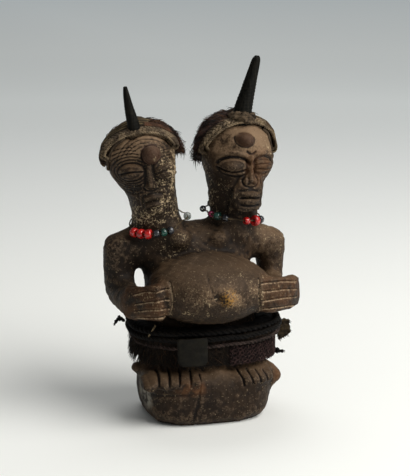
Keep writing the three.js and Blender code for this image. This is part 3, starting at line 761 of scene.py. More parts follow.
# Hide caps with their hair.
def hide_cap(head, side, flow, seed):
    """The hide, and the hair that lies on it. `flow` is the hair's lean in the head's own frame."""
    piece = copy_of(side + "_hide_cap", side + "_cap_hide")
    finish_with(piece, "REMESH", mode="VOXEL", voxel_size=1.3 * MM)
    edges = edges_of(piece)
    points = blurred(points_of(piece), edges, 18)
    place_points(piece, points)
    normals = points_of(piece, "normal")
    middle = out_of_head(head, (0, 2, 62))
    outer = between(np.einsum("ij,ij->i", unit(points - middle), normals), 0.0, 0.4)
    lumps = 0.7 + 0.7 * noise_at(points, 6, seed) + 0.35 * noise_at(points, 2.4, seed + 1)
    place_points(piece, points + normals * (outer * lumps)[:, None])
    settle(piece, hide_material(), "hide", side + "_hide_cap")
    rng = np.random.default_rng(seed)
    facing_out = lambda p, n: (np.einsum("ij,ij->i", unit(p - middle), n) > 0.25).astype(float)
    haired = lambda p, n: facing_out(p, n) * hair_there(side, in_head(head, p))
    roots, out = scattered(piece, HAIR_COUNT, rng, haired)
    turn = head_turn(head)
    own_out = out @ turn
    lie = np.array(flow) + np.stack([own_out[:, 0] * 0.9, own_out[:, 1] * 0.3, -np.ones(len(out)) * 0.3], axis=1)
    lie = lie + 0.55 * rng.normal(size=lie.shape)
    lie = lie @ turn.T
    lie = unit(lie - out * np.einsum("ij,ij->i", lie, out)[:, None])
    clump = noise_at(roots, 5, seed + 3)
    rise = 0.38 + 0.22 * clump + 0.12 * rng.normal(size=len(out))
    length = np.clip(rng.normal(8.0, 2.2, len(out)), 3, 13)
    steps = np.linspace(0, 1, 4)[None, :, None]
    way = unit(lie + out * rise[:, None])
    bend = unit(lie - out * 0.25) - way
    paths = roots[:, None] + length[:, None, None] * (steps * way[:, None] + 0.55 * steps**2 * bend[:, None])
    tones = np.clip(0.45 + 0.3 * clump + 0.2 * rng.normal(size=len(out)), 0, 1)
    fur = hairs(side + "_cap_hair", paths - out[:, None] * 0.3, rng.uniform(0.28, 0.5, len(out)), tones)
    settle(fur, hair_material(), "hide")


HAIR_COUNT = 3000


def hair_there(side, own):
    """How thick the hair stands: at the inner sides and the back, worn away elsewhere."""
    inner = between(own[:, 0], 2, 9) if side == "left" else between(own[:, 0], -4, -12)
    return np.clip(inner + between(own[:, 1], 16, 26), 0.01, 1)


def inner_roll(head, wood, start, end):
    """A dark roll between the outer, low end of a band and the wood."""
    return (over_head(head, wood, 1.6, start, end, 0.5)[0], 1.5, False, 0.1)


def left_band(skin, wood):
    """A thin cord on the hairline, a flat plait behind it, and striped cords along the outer edge."""
    runs = [inner_roll(LEFT_HEAD, wood, 118, 184)]
    line, out = over_head(LEFT_HEAD, skin, 0.6, -14, 196, 0.2)
    runs += [(s, 0.75, False, 0.8) for s in wound(line, out, 0.7, 2, 5)]
    line, out = over_head(LEFT_HEAD, skin, 4.6, -12, 194, 0.6, 0.8)
    runs += [(s, 1.15, False, 0.45) for s in plaited(line, out, 2.0, 0.7, 11)]
    line, out = over_head(LEFT_HEAD, skin, 8.3, -8, 190, 0.5)
    runs += [(s, 0.8, False, 0.25) for s in wound(line, out, 0.75, 2, 5)]
    plaits = tubes("left_band_plaits", runs, 6)
    settle(plaits, plait_material(), "plait", "left_plaited_band")
    cords = []
    for k in range(7):
        line, _ = over_head(LEFT_HEAD, skin, 10.2 + 1.9 * k, 84 - 2 * k, 194, 0.7 - 0.06 * k)
        cords.append((line, 1.05, False, (0.1, 0.55, 0.2, 0.7, 0.0, 0.5, 0.3)[k]))
    for k in range(3):
        line, _ = over_head(LEFT_HEAD, skin, 9.6 + 2.0 * k, 40, 86, 0.8)
        cords.append((line, 1.0, False, 0.9))
    settle(tubes("left_band_striped_cords", cords, 8), striped_material(), "plait")


def right_band(skin, wood):
    runs = [inner_roll(RIGHT_HEAD, wood, -6, 62)]
    line, out = over_head(RIGHT_HEAD, skin, 0.8, -12, 196, 0.2)
    runs += [(s, 0.75, False, 0.75) for s in wound(line, out, 0.7, 2, 5)]
    line, out = over_head(RIGHT_HEAD, skin, 4.8, 62, 194, 0.6, 0.8)
    runs += [(s, 1.15, False, 0.7) for s in plaited(line, out, 2.1, 0.8, 12)]
    line, out = over_head(RIGHT_HEAD, skin, 8.4, 60, 190, 0.5)
    runs += [(s, 0.8, False, 0.3) for s in wound(line, out, 0.75, 2, 5)]
    settle(tubes("right_band_plaits", runs, 6), plait_material(), "plait", "right_plaited_band")
    cords = []
    for k in range(6):
        line, _ = over_head(RIGHT_HEAD, skin, 2.8 + 1.9 * k, -12, 76, 0.6)
        cords.append((line, 1.05, False, (0.5, 0.95, 0.3, 0.9, 0.1, 0.6)[k]))
    settle(tubes("right_band_striped_cords", cords, 8), striped_material(), "plait")


def bands():
    nodes = frame["nodes"]
    wood = skin_of(nodes["carved_figure"])
    left_band(skin_of(nodes["left_plaited_band"], nodes["left_hide_cap"]), wood)
    right_band(skin_of(nodes["right_plaited_band"], nodes["right_hide_cap"]), wood)


# Horns.
LEFT_HORN = [(-5.4, -12.6, 86, 5.6), (-6.2, -12.8, 93, 5.5), (-7.6, -12.5, 108, 4.3), (-8.2, -12.2, 121, 3),
             (-8.3, -12, 130, 1.6)]
RIGHT_HORN = [(-2.8, -10, 90, 8.5), (-1.6, -10, 104, 8.1), (2, -10, 121, 6.4), (5.8, -10, 137, 5),
              (8.2, -10, 147.5, 3.9), (9.1, -10, 151.5, 1.8)]


def grown_horn(head, side, stations, ridged):
    """A horn drawn out ring by ring from its foot, then ringed and streaked as it grew."""
    rings = curve_through([s[:3] for s in stations], steps=5)
    sizes = curve_through([(s[3], 0.0, 0.0) for s in stations], steps=5)[:, 0]
    bpy.ops.object.select_all(action="DESELECT")
    bpy.ops.mesh.primitive_circle_add(vertices=24, radius=sizes[0] * MM, fill_type="NGON", location=rings[0] * MM)
    piece = added(side + "_horn_grown")
    bpy.ops.object.transform_apply(location=True, rotation=True, scale=True)
    bpy.ops.object.mode_set(mode="EDIT")
    bpy.ops.mesh.select_all(action="SELECT")
    for i in range(1, len(rings)):
        step = tuple((rings[i] - rings[i - 1]) * MM)
        bpy.ops.mesh.extrude_region_move(TRANSFORM_OT_translate={"value": step})
        ratio = sizes[i] / sizes[i - 1]
        bpy.ops.transform.resize(value=(ratio, ratio, ratio), center_override=tuple(rings[i] * MM))
    bpy.ops.mesh.select_all(action="SELECT")
    bpy.ops.mesh.normals_make_consistent(inside=False)
    bpy.ops.object.mode_set(mode="OBJECT")
    finish_with(piece, "SUBSURF", levels=2, render_levels=2)
    own, normals = points_of(piece), points_of(piece, "normal")
    foot, tip = stations[0][2], stations[-1][2]
    high = (own[:, 2] - foot) / (tip - foot)
    wave = own[:, 2] + 0.8 * noise_at(own, 9, 31)
    rings_out = np.maximum(0, np.sin(2 * math.pi * wave / 2.9)) * ridged * (1 - between(high, 0.4, 0.85))
    streaks = 0.1 * noise_at(own * np.array((1, 1, 0.12)), 1.6, 32)
    place_points(piece, out_of_head(head, own + normals * (rings_out + streaks)[:, None]))
    return settle(piece, horn_material(), "horn", side + "_horn")


def horn_pitch(head, side, middle, half, seed):
    """The lumpy mound of pitch that holds a horn in the crown."""
    bpy.ops.object.select_all(action="DESELECT")
    bpy.ops.mesh.primitive_uv_sphere_add(segments=72, ring_count=48, radius=MM)
    piece = added(side + "_horn_pitch")
    own = points_of(piece) * np.array(half) + np.array(middle)
    own += points_of(piece, "normal") * (0.8 * noise_at(own, 3.2, seed) + 0.5 * noise_at(own, 1.4, seed))[:, None]
    place_points(piece, out_of_head(head, own))
    settle(piece, pitch_material(), "hide")


# Beads and strings.
NECKLACE_RADIUS, BEAD_HOLE = 27.6, 1.1
NECKLACES = {
    "left": {
        "middle": (-41.0, 2.0), "height": 177.5, "tilt": 7.5, "high": 50.0,
        "beads": [(212, 4.3, 5.6, "red"), (227, 4.5, 5.6, "red"), (242, 4.6, 6, "red"), (257, 3.6, 5, "dark"),
                  (270, 3.6, 5, "green"), (283, 3.6, 5, "dark"), (347, 3.5, 5, "clear"), (60, 3.6, 5, "dark"),
                  (90, 3.6, 5, "red"), (120, 3.6, 5, "dark")],
    },
    "right": {
        "middle": (30.0, 2.0), "height": 181.5, "tilt": 4.5, "high": 140.0,
        "beads": [(175, 3, 2.4, "dark"), (208, 2.7, 4, "pink"), (224, 3.6, 5.4, "green"), (240, 3.4, 5, "dark"),
                  (280, 3.6, 5, "red"), (300, 4.9, 6, "red"), (316, 3.6, 5, "dark"), (50, 3.6, 5, "dark"),
                  (85, 3.6, 5, "red"), (120, 3.6, 5, "dark")],
    },
}


def on_necklace(lace, degrees, radius=NECKLACE_RADIUS):
    angle = math.radians(degrees)
    x, y = lace["middle"]
    lift = lace["tilt"] * math.cos(angle - math.radians(lace["high"]))
    return np.array((x + radius * math.cos(angle), y + radius * math.sin(angle), lace["height"] + lift))


def thread_radius(lace, degrees):
    """The thread lies in at the neck where it has no bead to carry."""
    gap = min(abs((degrees - bead[0] + 180) % 360 - 180) for bead in lace["beads"])
    return NECKLACE_RADIUS - 3.6 * float(between(np.array(gap), 9, 22))


def glass_bead(name, node, place, ahead, radius, length, glass):
    """A short round-shouldered bead with its hole, from a ring pressed along its axis."""
    wall = (radius - BEAD_HOLE) / 2
    bpy.ops.object.select_all(action="DESELECT")
    bpy.ops.mesh.primitive_torus_add(major_radius=(BEAD_HOLE + wall) * MM, minor_radius=wall * MM,
                                     major_segments=24, minor_segments=14)
    piece = added(name)
    own = points_of(piece)
    round_way = own[:, 2] / wall
    own[:, 2] = np.sign(round_way) * np.abs(round_way) ** 0.75 * length / 2
    turn = np.array(Vector((0, 0, 1)).rotation_difference(Vector(ahead)).to_matrix())
    place_points(piece, own @ turn.T + place)
    settle(piece, glass, node_slot(node), node)


def node_slot(node):
    return next(s["material_slot"] for s in frame["record"]["subparts"] if s["node"] == node)


def necklace(side, glasses):
    lace = NECKLACES[side]
    line = np.array([on_necklace(lace, d, thread_radius(lace, d)) for d in range(0, 360, 3)])
    line = evenly(line, 0.9, closed=True)
    out = unit(line - np.array((*lace["middle"], 0)) - np.array((0, 0, 1)) * line[:, 2:3])
    runs = [(s, 0.42, True, 0.5) for s in wound(line, out, 0.38, 2, 2.6, closed=True)]
    string = tubes(side + "_necklace_thread", runs, 5)
    settle(string, thread_material(), "string", side + "_necklace_string")
    for i, (degrees, radius, length, glass) in enumerate(lace["beads"]):
        node = "%s_bead_%02d" % (side, i + 1)
        ahead = on_necklace(lace, degrees + 1) - on_necklace(lace, degrees - 1)
        glass_bead(node + "_glass", node, on_necklace(lace, degrees), ahead, radius, length, glasses[glass])


# The skirt and what is tied over it.
SKIRT_WIDE, SKIRT_DEEP, SKIRT_SWELL, SKIRT_POWER = 62.0, 49.0, 3.0, 2.5
SKIRT_LOW, SKIRT_HIGH = 53.6, 88.0
# The ends are the solid's own, which lie 78 and 14 degrees round from +X, as angles of the skirt's curve.
NET_FROM, NET_TO, NET_LOW, NET_HIGH = -83.9, -13.3, 54.5, 71.6


def on_skirt(degrees, z, grow):
    """Points on the skirt's outside, `grow` millimetres proud of it; degrees, z and grow may be arrays."""
    degrees, z, grow = np.broadcast_arrays(np.asarray(degrees, dtype=float), z, grow)
    swell_out = SKIRT_SWELL * between(z, 70, 80) * (1 - between(z, 84, 92)) + grow
    angle = np.radians(degrees)
    c, s = np.cos(angle), np.sin(angle)
    x = (SKIRT_WIDE + swell_out) * np.sign(c) * np.abs(c) ** (2 / SKIRT_POWER)
    y = (SKIRT_DEEP + swell_out) * np.sign(s) * np.abs(s) ** (2 / SKIRT_POWER)
    return np.stack([SKIRT_MIDDLE[0] + x, SKIRT_MIDDLE[1] + y, z + 0 * x], axis=-1)


def skirt():
    """The matted fibre, and the loose strands that hang over it."""
    piece = copy_of("fibre_skirt", "skirt_mat")
    finish_with(piece, "REMESH", mode="VOXEL", voxel_size=1.7 * MM)
    points = blurred(points_of(piece), edges_of(piece), 6)
    place_points(piece, points)
    normals = points_of(piece, "normal")
    folds = 0.5 * noise_at(points * np.array((1, 1, 0.25)), 3.0, 41) + 0.4 * noise_at(points, 5, 42)
    place_points(piece, points + normals * folds[:, None])
    settle(piece, fibre_material(), "fibre", "fibre_skirt")
    rng = np.random.default_rng(43)
    count = 4200
    degrees = rng.uniform(-180, 180, count)
    top = rng.uniform(66, 86, count)
    length = rng.uniform(7, 24, count)
    low = np.maximum(top - length, rng.uniform(49.5, 54.5, count))
    steps = np.linspace(0, 1, 7)[None]
    wave = rng.normal(0, 4.2, (count, 1)) * steps**1.3 + rng.normal(0, 1.5, (count, 1)) * np.sin(
        steps * rng.uniform(3, 11, (count, 1)) + rng.uniform(0, 6, (count, 1)))
    z = top[:, None] + (low - top)[:, None] * steps
    left_side = between(np.abs(degrees + 180 - 360 * (degrees > 0)), 70, 35)[:, None]
    lift = rng.uniform(-0.3, 1.4, (count, 1)) + (rng.uniform(0, 2.6, (count, 1)) + 3.4 * left_side) * steps**1.5
    under_net = (degrees > NET_FROM - 3) & (degrees < NET_TO + 3)
    lift = np.where(under_net[:, None], np.minimum(lift, 0.3), lift)
    paths = on_skirt(degrees[:, None] + wave, z, lift)
    tones = np.clip(rng.normal(0.45, 0.27, count), 0, 1)
    strands = hairs("skirt_strands", paths, rng.uniform(0.3, 0.62, count), tones)
    settle(strands, fibre_material(), "fibre")


def net_cloth():
    """A small piece of cloth laid over the skirt, and the knotted net on its face."""
    across, down = 64, 16
    degrees = np.linspace(NET_FROM, NET_TO, across)
    heights = np.linspace(NET_LOW + 0.2, NET_HIGH - 0.2, down)
    grid_degrees, grid_heights = np.meshgrid(degrees, heights)
    flat = np.stack([grid_degrees, grid_heights, 0 * grid_degrees], axis=-1).reshape(-1, 3)
    grow = 1.3 + 0.35 * noise_at(flat * (0.9, 1, 1), 6, 51)
    points = on_skirt(flat[:, 0], flat[:, 1], grow)
    faces = [
        (i * across + j, i * across + j + 1, (i + 1) * across + j + 1, (i + 1) * across + j)
        for i in range(down - 1)
        for j in range(across - 1)
    ]
    cloth = piece_of("net_cloth_ground", points, faces)
    finish_with(cloth, "SOLIDIFY", thickness=0.7 * MM, offset=0.0)
    finish_with(cloth, "SUBSURF", levels=1, render_levels=1)
    settle(cloth, net_material("net_ground", (9, 6, 6), (24, 15, 14)), "net", "net_cloth")
    runs = []
    rng = np.random.default_rng(52)
    mesh_degrees = 4.2
    for lean in (-1, 1):
        for start in np.arange(NET_FROM - 24, NET_TO + 24, mesh_degrees):
            z = np.linspace(NET_LOW - 0.3, NET_HIGH + 0.2, 34)
            d = start + lean * (z - NET_LOW) * 0.98 + 0.7 * np.sin(z * 1.3 + start)
            inside = (d > NET_FROM) & (d < NET_TO)
            if inside.sum() > 4:
                runs.append((on_skirt(d[inside], z[inside], 2.2 + 0.25 * lean), 0.52, False, rng.random()))
    knots = tubes("net_cloth_net", runs, 5)
    settle(knots, net_material("net_knots", (20, 13, 13), (54, 38, 36)), "net")


def waist_cords():
    dark, pale = dark_cord_material(), pale_cord_material()
    for name, height, tilt, high, radius, strands, pitch, material, slot in (
        ("upper", 87.0, 1.5, 20, 2.3, 2, 11, dark, "dark_cord"),
        ("middle", 81.8, 2.0, 20, 2.3, 3, 13, dark, "dark_cord"),
        ("lower", 75.6, 3.0, 40, 1.9, 2, 8, pale, "pale_cord"),
    ):
        node = name + "_waist_cord"
        degrees = np.arange(0, 360, 2.0)
        heights = height + tilt * np.cos(np.radians(degrees - high))
        line = evenly(on_skirt(degrees, heights, radius + 1.0), 1.2, closed=True)
        line[:, 2] += 0.5 * noise_at(line, 11, len(name))
        out = unit((line - np.array((*SKIRT_MIDDLE, 0))) * np.array((1, 1, 0)))
        share = 0.5 if strands == 2 else 0.56
        thin = radius * (0.54 if strands == 2 else 0.5)
        twist = wound(line, out, radius * share, strands, pitch, True)
        runs = [(s, thin, True, k / strands) for k, s in enumerate(twist)]
        settle(tubes(node + "_twisted", runs, 7), material, slot, node)


def leather_tab():
    piece = copy_of("leather_tab", "tab_leather")
    finish_with(piece, "REMESH", mode="VOXEL", voxel_size=0.7 * MM)
    points = blurred(points_of(piece), edges_of(piece), 8)
    place_points(piece, points)
    normals = points_of(piece, "normal")
    own = points - np.array((-24.0, -60.6, 72.0))
    points[:, 1] -= 1.2 * between(own[:, 2], -4, -13) - 1.0 * between(np.abs(own[:, 0]), 6, 14)
    creases = 0.25 * noise_at(points * (0.4, 1, 1), 3, 61) + 0.12 * noise_at(points, 1.4, 62)
    place_points(piece, points + normals * creases[:, None])
    settle(piece, leather_material(), "leather", "leather_tab")


def hide_scrap():
    piece = copy_of("hide_scrap", "scrap_hide")
    finish_with(piece, "REMESH", mode="VOXEL", voxel_size=0.6 * MM)
    points = blurred(points_of(piece), edges_of(piece), 6)
    place_points(piece, points)
    normals = points_of(piece, "normal")
    place_points(piece, points + normals * (0.5 * noise_at(points, 2.2, 71))[:, None])
    settle(piece, scrap_material(), "scrap", "hide_scrap")
    rng = np.random.default_rng(72)
    roots, out = scattered(piece, 130, rng)
    steps = np.linspace(0, 1, 4)[None, :, None]
    way = unit(out * 0.7 + np.array((0.25, -0.1, -0.75)) + 0.4 * rng.normal(size=out.shape))
    paths = roots[:, None] + rng.uniform(1.2, 3.0, (len(roots), 1, 1)) * steps * way[:, None]
    fur = hairs("scrap_hair", paths, rng.uniform(0.18, 0.34, len(roots)), rng.random(len(roots)))
    settle(fur, fibre_material(), "scrap")


CORD_ENDS = {
    "left": [(-74.5, -12, 90), (-77, -13.2, 92.8), (-79, -14, 93.6), (-81.5, -14.6, 92.2), (-83.5, -15, 89.6)],
    "right": [(66, -8, 55), (68, -8.8, 52.6), (70, -9.5, 51.2), (72.5, -9.8, 50.4), (75, -10, 50.5)],
}


def cord_end(side):
    """A knotted, frayed end of cord."""
    line = evenly(curve_through(CORD_ENDS[side]), 0.7)
    out = np.tile(np.array((0.0, -1.0, 0.0)), (len(line), 1))
    runs = [(s, 0.95, False, 0.5) for s in wound(line, out, 0.8, 2, 6)]
    knot_middle = line[len(line) // 2]
    turn = np.linspace(0, 2 * math.pi * 1.6, 26)
    back, ahead = np.array((0.0, 1.0, 0.0)), directions(line)[len(line) // 2]
    across = unit(np.cross(ahead, back))
    for reach in (1.5, 2.0):
        loop = knot_middle + reach * (np.cos(turn)[:, None] * across + np.sin(turn)[:, None] * back)
        runs.append((loop + ahead * (turn[:, None] / 6 - 0.8), 0.8, False, 0.4))
    settle(tubes(side + "_cord_end_knot", runs, 6), dark_cord_material(), "dark_cord", side + "_cord_end")
    rng = np.random.default_rng(80 + len(side))
    count = 26
    ahead = unit(line[-1] - line[-4])
    steps = np.linspace(0, 1, 4)[None, :, None]
    way = unit(ahead + 0.35 * rng.normal(size=(count, 3)))
    paths = line[-2] + rng.uniform(1.5, 3.6, (count, 1, 1)) * steps * way[:, None]
    fray = hairs(side + "_cord_end_fray", paths, np.full(count, 0.2), rng.random(count))
    settle(fray, fibre_material(), "dark_cord")


def peg():
    """A pale wooden peg pushed in among the waist cords."""
    foot, top = on_skirt(-146.0, 81.5, 3.6), on_skirt(-140.5, 92.0, 3.2)
    bpy.ops.object.select_all(action="DESELECT")
    bpy.ops.mesh.primitive_cylinder_add(vertices=14, radius=0.9 * MM, depth=1 * MM)
    piece = added("waist_peg")
    bpy.ops.object.mode_set(mode="EDIT")
    bpy.ops.mesh.select_all(action="SELECT")
    bpy.ops.mesh.bevel(offset=0.2 * MM, segments=2)
    bpy.ops.object.mode_set(mode="OBJECT")
    own = points_of(piece)
    own[:, 2] *= np.linalg.norm(top - foot)
    own[:, :2] *= (1 - 0.25 * own[:, 2:3] / np.linalg.norm(top - foot))
    turn = np.array(Vector((0, 0, 1)).rotation_difference(Vector(top - foot)).to_matrix())
    place_points(piece, own @ turn.T + (foot + top) / 2)
    settle(piece, peg_material(), "pale_cord", angle=40)


# Materials.
def linear(r, g, b):
    """A colour given as on a screen, 0 to 255, as the shader needs it."""
    def one(v):
        v /= 255
        return v / 12.92 if v <= 0.04045 else ((v + 0.055) / 1.055) ** 2.4
    return (one(r), one(g), one(b), 1.0)


class Bench:
    """A node tree, of a material or of a shared group, with short ways to add and join nodes."""

    def __init__(self, name, tree=None):
        if tree is None:
            self.material = bpy.data.materials.new(name)
            self.material.use_nodes = True
            tree = self.material.node_tree
            self.shader = tree.nodes["Principled BSDF"]
        self.tree = tree

    def node(self, kind, inputs=(), **settings):
        node = self.tree.nodes.new(kind)
        for name, value in settings.items():
            setattr(node, name, value)
        for socket, value in dict(inputs).items():
            self.give(node.inputs[socket], value)
        return node

    def give(self, socket, value):
        if isinstance(value, bpy.types.NodeSocket):
            self.tree.links.new(value, socket)
        else:
            socket.default_value = value

    def shade(self, **values):
        for name, value in values.items():
            self.give(self.shader.inputs[name.replace("_", " ")], value)

    def place(self):
        return self.node("ShaderNodeTexCoord").outputs["Object"]

    def kept(self, name):
        return self.node("ShaderNodeAttribute", attribute_name=name).outputs["Fac"]

    def noise(self, scale, detail=4, roughness=0.6, at=None):
        inputs = {"Scale": scale, "Detail": detail, "Roughness": roughness, "Vector": at or self.place()}
        return self.node("ShaderNodeTexNoise", inputs).outputs["Fac"]

    def math(self, operation, a, b=0.0, clamp=False):
        node = self.node("ShaderNodeMath", {0: a, 1: b}, operation=operation, use_clamp=clamp)
        return node.outputs[0]

    def step(self, value, low, high):
        """0 below low and 1 above high, eased."""
        inputs = {"Value": value, "From Min": low, "From Max": high}
        node = self.node("ShaderNodeMapRange", inputs, interpolation_type="SMOOTHSTEP")
        return node.outputs[0]

    def mix(self, share, a, b, blend="MIX"):
        node = self.node("ShaderNodeMix", data_type="RGBA", blend_type=blend)
        for socket, value in (("Factor_Float", share), ("A_Color", a), ("B_Color", b)):
            self.give(next(s for s in node.inputs if s.identifier == socket), value)
        return next(s for s in node.outputs if s.identifier == "Result_Color")

    def bump(self, height, strength, distance, under=None):
        inputs = {"Height": height, "Strength": strength, "Distance": distance}
        if under is not None:
            inputs["Normal"] = under
        return self.node("ShaderNodeBump", inputs).outputs["Normal"]

    def shared(self, group, **inputs):
        """A shared group placed here with its own values; gives its outputs."""
        node = self.node("ShaderNodeGroup", node_tree=group)
        for name, value in inputs.items():
            self.give(node.inputs[name], value)
        return node.outputs


def new_group(name, inputs, outputs):
    group = bpy.data.node_groups.new(name, "ShaderNodeTree")
    for way, sockets in (("INPUT", inputs), ("OUTPUT", outputs)):
        for socket, kind in sockets:
            group.interface.new_socket(name=socket, in_out=way, socket_type="NodeSocket" + kind)
    bench = Bench(name, group)
    return group, bench, bench.node("NodeGroupInput").outputs, bench.node("NodeGroupOutput").inputs


def settled_dust():
    """Dust that lies on what faces up, in uneven patches. Shared by most finishes."""
    group, b, given, out = new_group(
        "settled_dust",
        [("Colour", "Color"), ("Dust", "Color"), ("Amount", "Float"), ("Low", "Float"), ("High", "Float")],
        [("Colour", "Color"), ("Mask", "Float")],
    )
    up = b.node("ShaderNodeSeparateXYZ", {0: b.node("ShaderNodeNewGeometry").outputs["Normal"]}).outputs["Z"]
    at = b.place()
    patches, grains = b.noise(34, 3, 0.55, at), b.noise(420, 3, 0.65, at)
    uneven = b.math("ADD", b.math("MULTIPLY", patches, 0.75), b.math("MULTIPLY", grains, 0.45))
    lies = b.math("ADD", up, b.math("MULTIPLY", b.math("SUBTRACT", uneven, 0.6), 1.3))
    mask = b.math("MULTIPLY", b.step(lies, given["Low"], given["High"]), given["Amount"], clamp=True)
    b.give(out["Colour"], b.mix(mask, given["Colour"], given["Dust"]))
    b.give(out["Mask"], mask)
    return group


def worn_skin():
    """A fine uneven skin: a patchy value and a normal. Shared by the small parts' finishes."""
    group, b, given, out = new_group(
        "worn_skin", [("Scale", "Float"), ("Strength", "Float")], [("Value", "Float"), ("Normal", "Vector")]
    )
    at = b.place()
    patches = b.noise(given["Scale"], 3, 0.55, at)
    fine = b.noise(b.math("MULTIPLY", given["Scale"], 6.0), 3, 0.6, at)
    b.give(out["Value"], b.math("ADD", b.math("MULTIPLY", patches, 0.6), b.math("MULTIPLY", fine, 0.4)))
    b.give(out["Normal"], b.bump(fine, given["Strength"], 0.0005))
    return group


SHARED = {}


def wood_material():
    b = Bench("carved_wood")
    at = b.place()
    broad, middle, fine = b.noise(22, 3, 0.55, at), b.noise(90, 4, 0.6, at), b.noise(520, 3, 0.65, at)
    stretched = b.node("ShaderNodeMapping", {"Vector": at, "Scale": (300.0, 300.0, 24.0)}).outputs[0]
    grain = b.noise(1.0, 4, 0.65, stretched)
    colour = b.mix(b.step(broad, 0.36, 0.66), linear(33, 23, 15), linear(56, 41, 27))
    colour = b.mix(b.math("MULTIPLY", b.step(grain, 0.48, 0.72), 0.4), colour, linear(80, 60, 42))
    colour = b.mix(b.math("MULTIPLY", b.step(middle, 0.52, 0.32), 0.6), colour, linear(26, 19, 13))
    colour = b.shared(SHARED["dust"], Colour=colour, Dust=linear(106, 84, 62), Amount=0.6, Low=0.0, High=1.0)[0]
    uneven = b.math("ADD", b.math("ADD", broad, middle), b.math("MULTIPLY", fine, 0.6))
    dusty = b.math("MULTIPLY", b.kept("dusty"), b.step(uneven, 1.14, 1.42))
    colour = b.mix(b.math("MULTIPLY", dusty, 0.8), colour, linear(130, 106, 82))
    # Darker wood: the block's own dark wood, and painted shade on the parts turned from the key light or lying
    # under something.
    sooty_and_shaded = b.math("MULTIPLY", b.kept("soot_and_shade"), b.step(broad, 0.2, 0.5))
    colour = b.mix(b.math("MULTIPLY", sooty_and_shaded, 0.8), colour, linear(22, 16, 11))
    high = b.math("MULTIPLY", b.step(b.kept("hollow"), -0.05, -0.26), b.step(fine, 0.38, 0.62))
    colour = b.mix(b.math("MULTIPLY", high, 0.42), colour, linear(112, 92, 72))
    # Painted shade in the hollows: the deeper the hollow, the darker the wood.
    deep = b.math("MULTIPLY", b.step(b.kept("hollow"), 0.02, 0.3), 0.85)
    colour = b.mix(deep, colour, linear(20, 14, 10))
    # Painted shade in the carved grooves, darker the deeper the cut.
    colour = b.mix(b.math("MULTIPLY", b.step(b.kept("cut"), 0.2, 1.2), 0.85), colour, linear(17, 12, 9))
    chips = b.node("ShaderNodeTexNoise", {"Vector": at, "Scale": 460.0, "Detail": 5.0, "Roughness": 0.75,
                                          "Distortion": 0.4})
    more = b.math("ADD", b.math("MULTIPLY", middle, 0.42), b.math("MULTIPLY", b.kept("crust"), 0.12))
    flecks = b.step(b.math("ADD", chips.outputs["Fac"], more), 0.85, 0.93)
    colour = b.mix(b.math("MULTIPLY", b.kept("crust"), 0.6), colour, linear(34, 25, 16))
    crust = b.math("MULTIPLY", b.step(b.kept("crust"), 0.02, 0.15), flecks)
    colour = b.mix(b.math("MULTIPLY", crust, 0.8), colour, linear(174, 154, 122))
    specks = b.node("ShaderNodeTexNoise", {"Vector": at, "Scale": 620.0, "Detail": 1.0, "Roughness": 0.5})
    everywhere = b.math("MULTIPLY", b.step(specks.outputs["Fac"], 0.67, 0.74), 0.5)
    colour = b.mix(everywhere, colour, linear(140, 122, 96))
    gold = b.math("MULTIPLY", b.kept("navel"), b.step(fine, 0.46, 0.58))
    colour = b.mix(b.math("MULTIPLY", gold, 0.75), colour, linear(150, 108, 44))
    worn = b.math("MULTIPLY", b.kept("rub"), b.step(middle, 0.36, 0.6))
    colour = b.mix(b.math("MULTIPLY", worn, 0.6), colour, linear(98, 64, 38))
    colour = b.mix(b.math("MULTIPLY", b.kept("boss"), 0.6), colour, linear(64, 42, 31))
    finger = b.math("MULTIPLY", b.step(b.kept("finger"), 0.35, 0.9), b.step(fine, 0.4, 0.56))
    colour = b.mix(b.math("MULTIPLY", finger, 0.8), colour, linear(150, 128, 102))
    pale = b.math("MULTIPLY", b.kept("patch"), b.step(middle, 0.38, 0.56))
    colour = b.mix(b.math("MULTIPLY", pale, 0.75), colour, linear(150, 144, 130))
    rough = b.math("ADD", 0.46, b.math("MULTIPLY", middle, 0.35))
    skin = b.bump(middle, 0.35, 0.0018)
    skin = b.bump(fine, 0.6, 0.0008, skin)
    skin = b.bump(grain, 0.4, 0.0008, skin)
    b.shade(Base_Color=colour, Roughness=rough, Normal=skin)
    b.shader.inputs["Specular IOR Level"].default_value = 0.14
    return b.material


def grimy(name, dark, light, scale, roughness, bump=0.4, specular=0.12, dust=0.3):
    """Two tones in soft patches with a fine uneven skin, for small parts."""
    b = Bench(name)
    skin = b.shared(SHARED["skin"], Scale=float(scale), Strength=bump)
    colour = b.mix(b.step(skin["Value"], 0.38, 0.62), linear(*dark), linear(*light))
    dusty = tuple(int(v * 0.5 + w * 0.5) for v, w in zip(light, (128, 110, 88)))
    colour = b.shared(SHARED["dust"], Colour=colour, Dust=linear(*dusty), Amount=dust, Low=0.1, High=1.1)[0]
    b.shade(Base_Color=colour, Roughness=b.math("ADD", roughness - 0.1, b.math("MULTIPLY", skin["Value"], 0.2)))
    b.shade(Normal=skin["Normal"])
    b.shader.inputs["Specular IOR Level"].default_value = specular
    return b, colour


def hide_material():
    return grimy("hide", (16, 10, 7), (50, 34, 24), 120, 0.85)[0].material


def pitch_material():
    return grimy("pitch", (22, 17, 12), (82, 68, 52), 180, 0.8)[0].material


def hair_material():
    b = Bench("hair")
    tone, tip = b.kept("tone"), b.kept("tip")
    colour = b.mix(b.step(tone, 0.2, 0.6), linear(20, 12, 9), linear(62, 36, 24))
    colour = b.mix(b.step(tone, 0.66, 0.98), colour, linear(98, 70, 46))
    # Painted shade: each hair darkens towards its root, down among the other hairs.
    colour = b.mix(b.math("MULTIPLY", b.step(tip, 0.7, 0.0), 0.6), colour, linear(14, 9, 7))
    b.shade(Base_Color=colour, Roughness=0.6)
    b.shader.inputs["Specular IOR Level"].default_value = 0.25
    return b.material


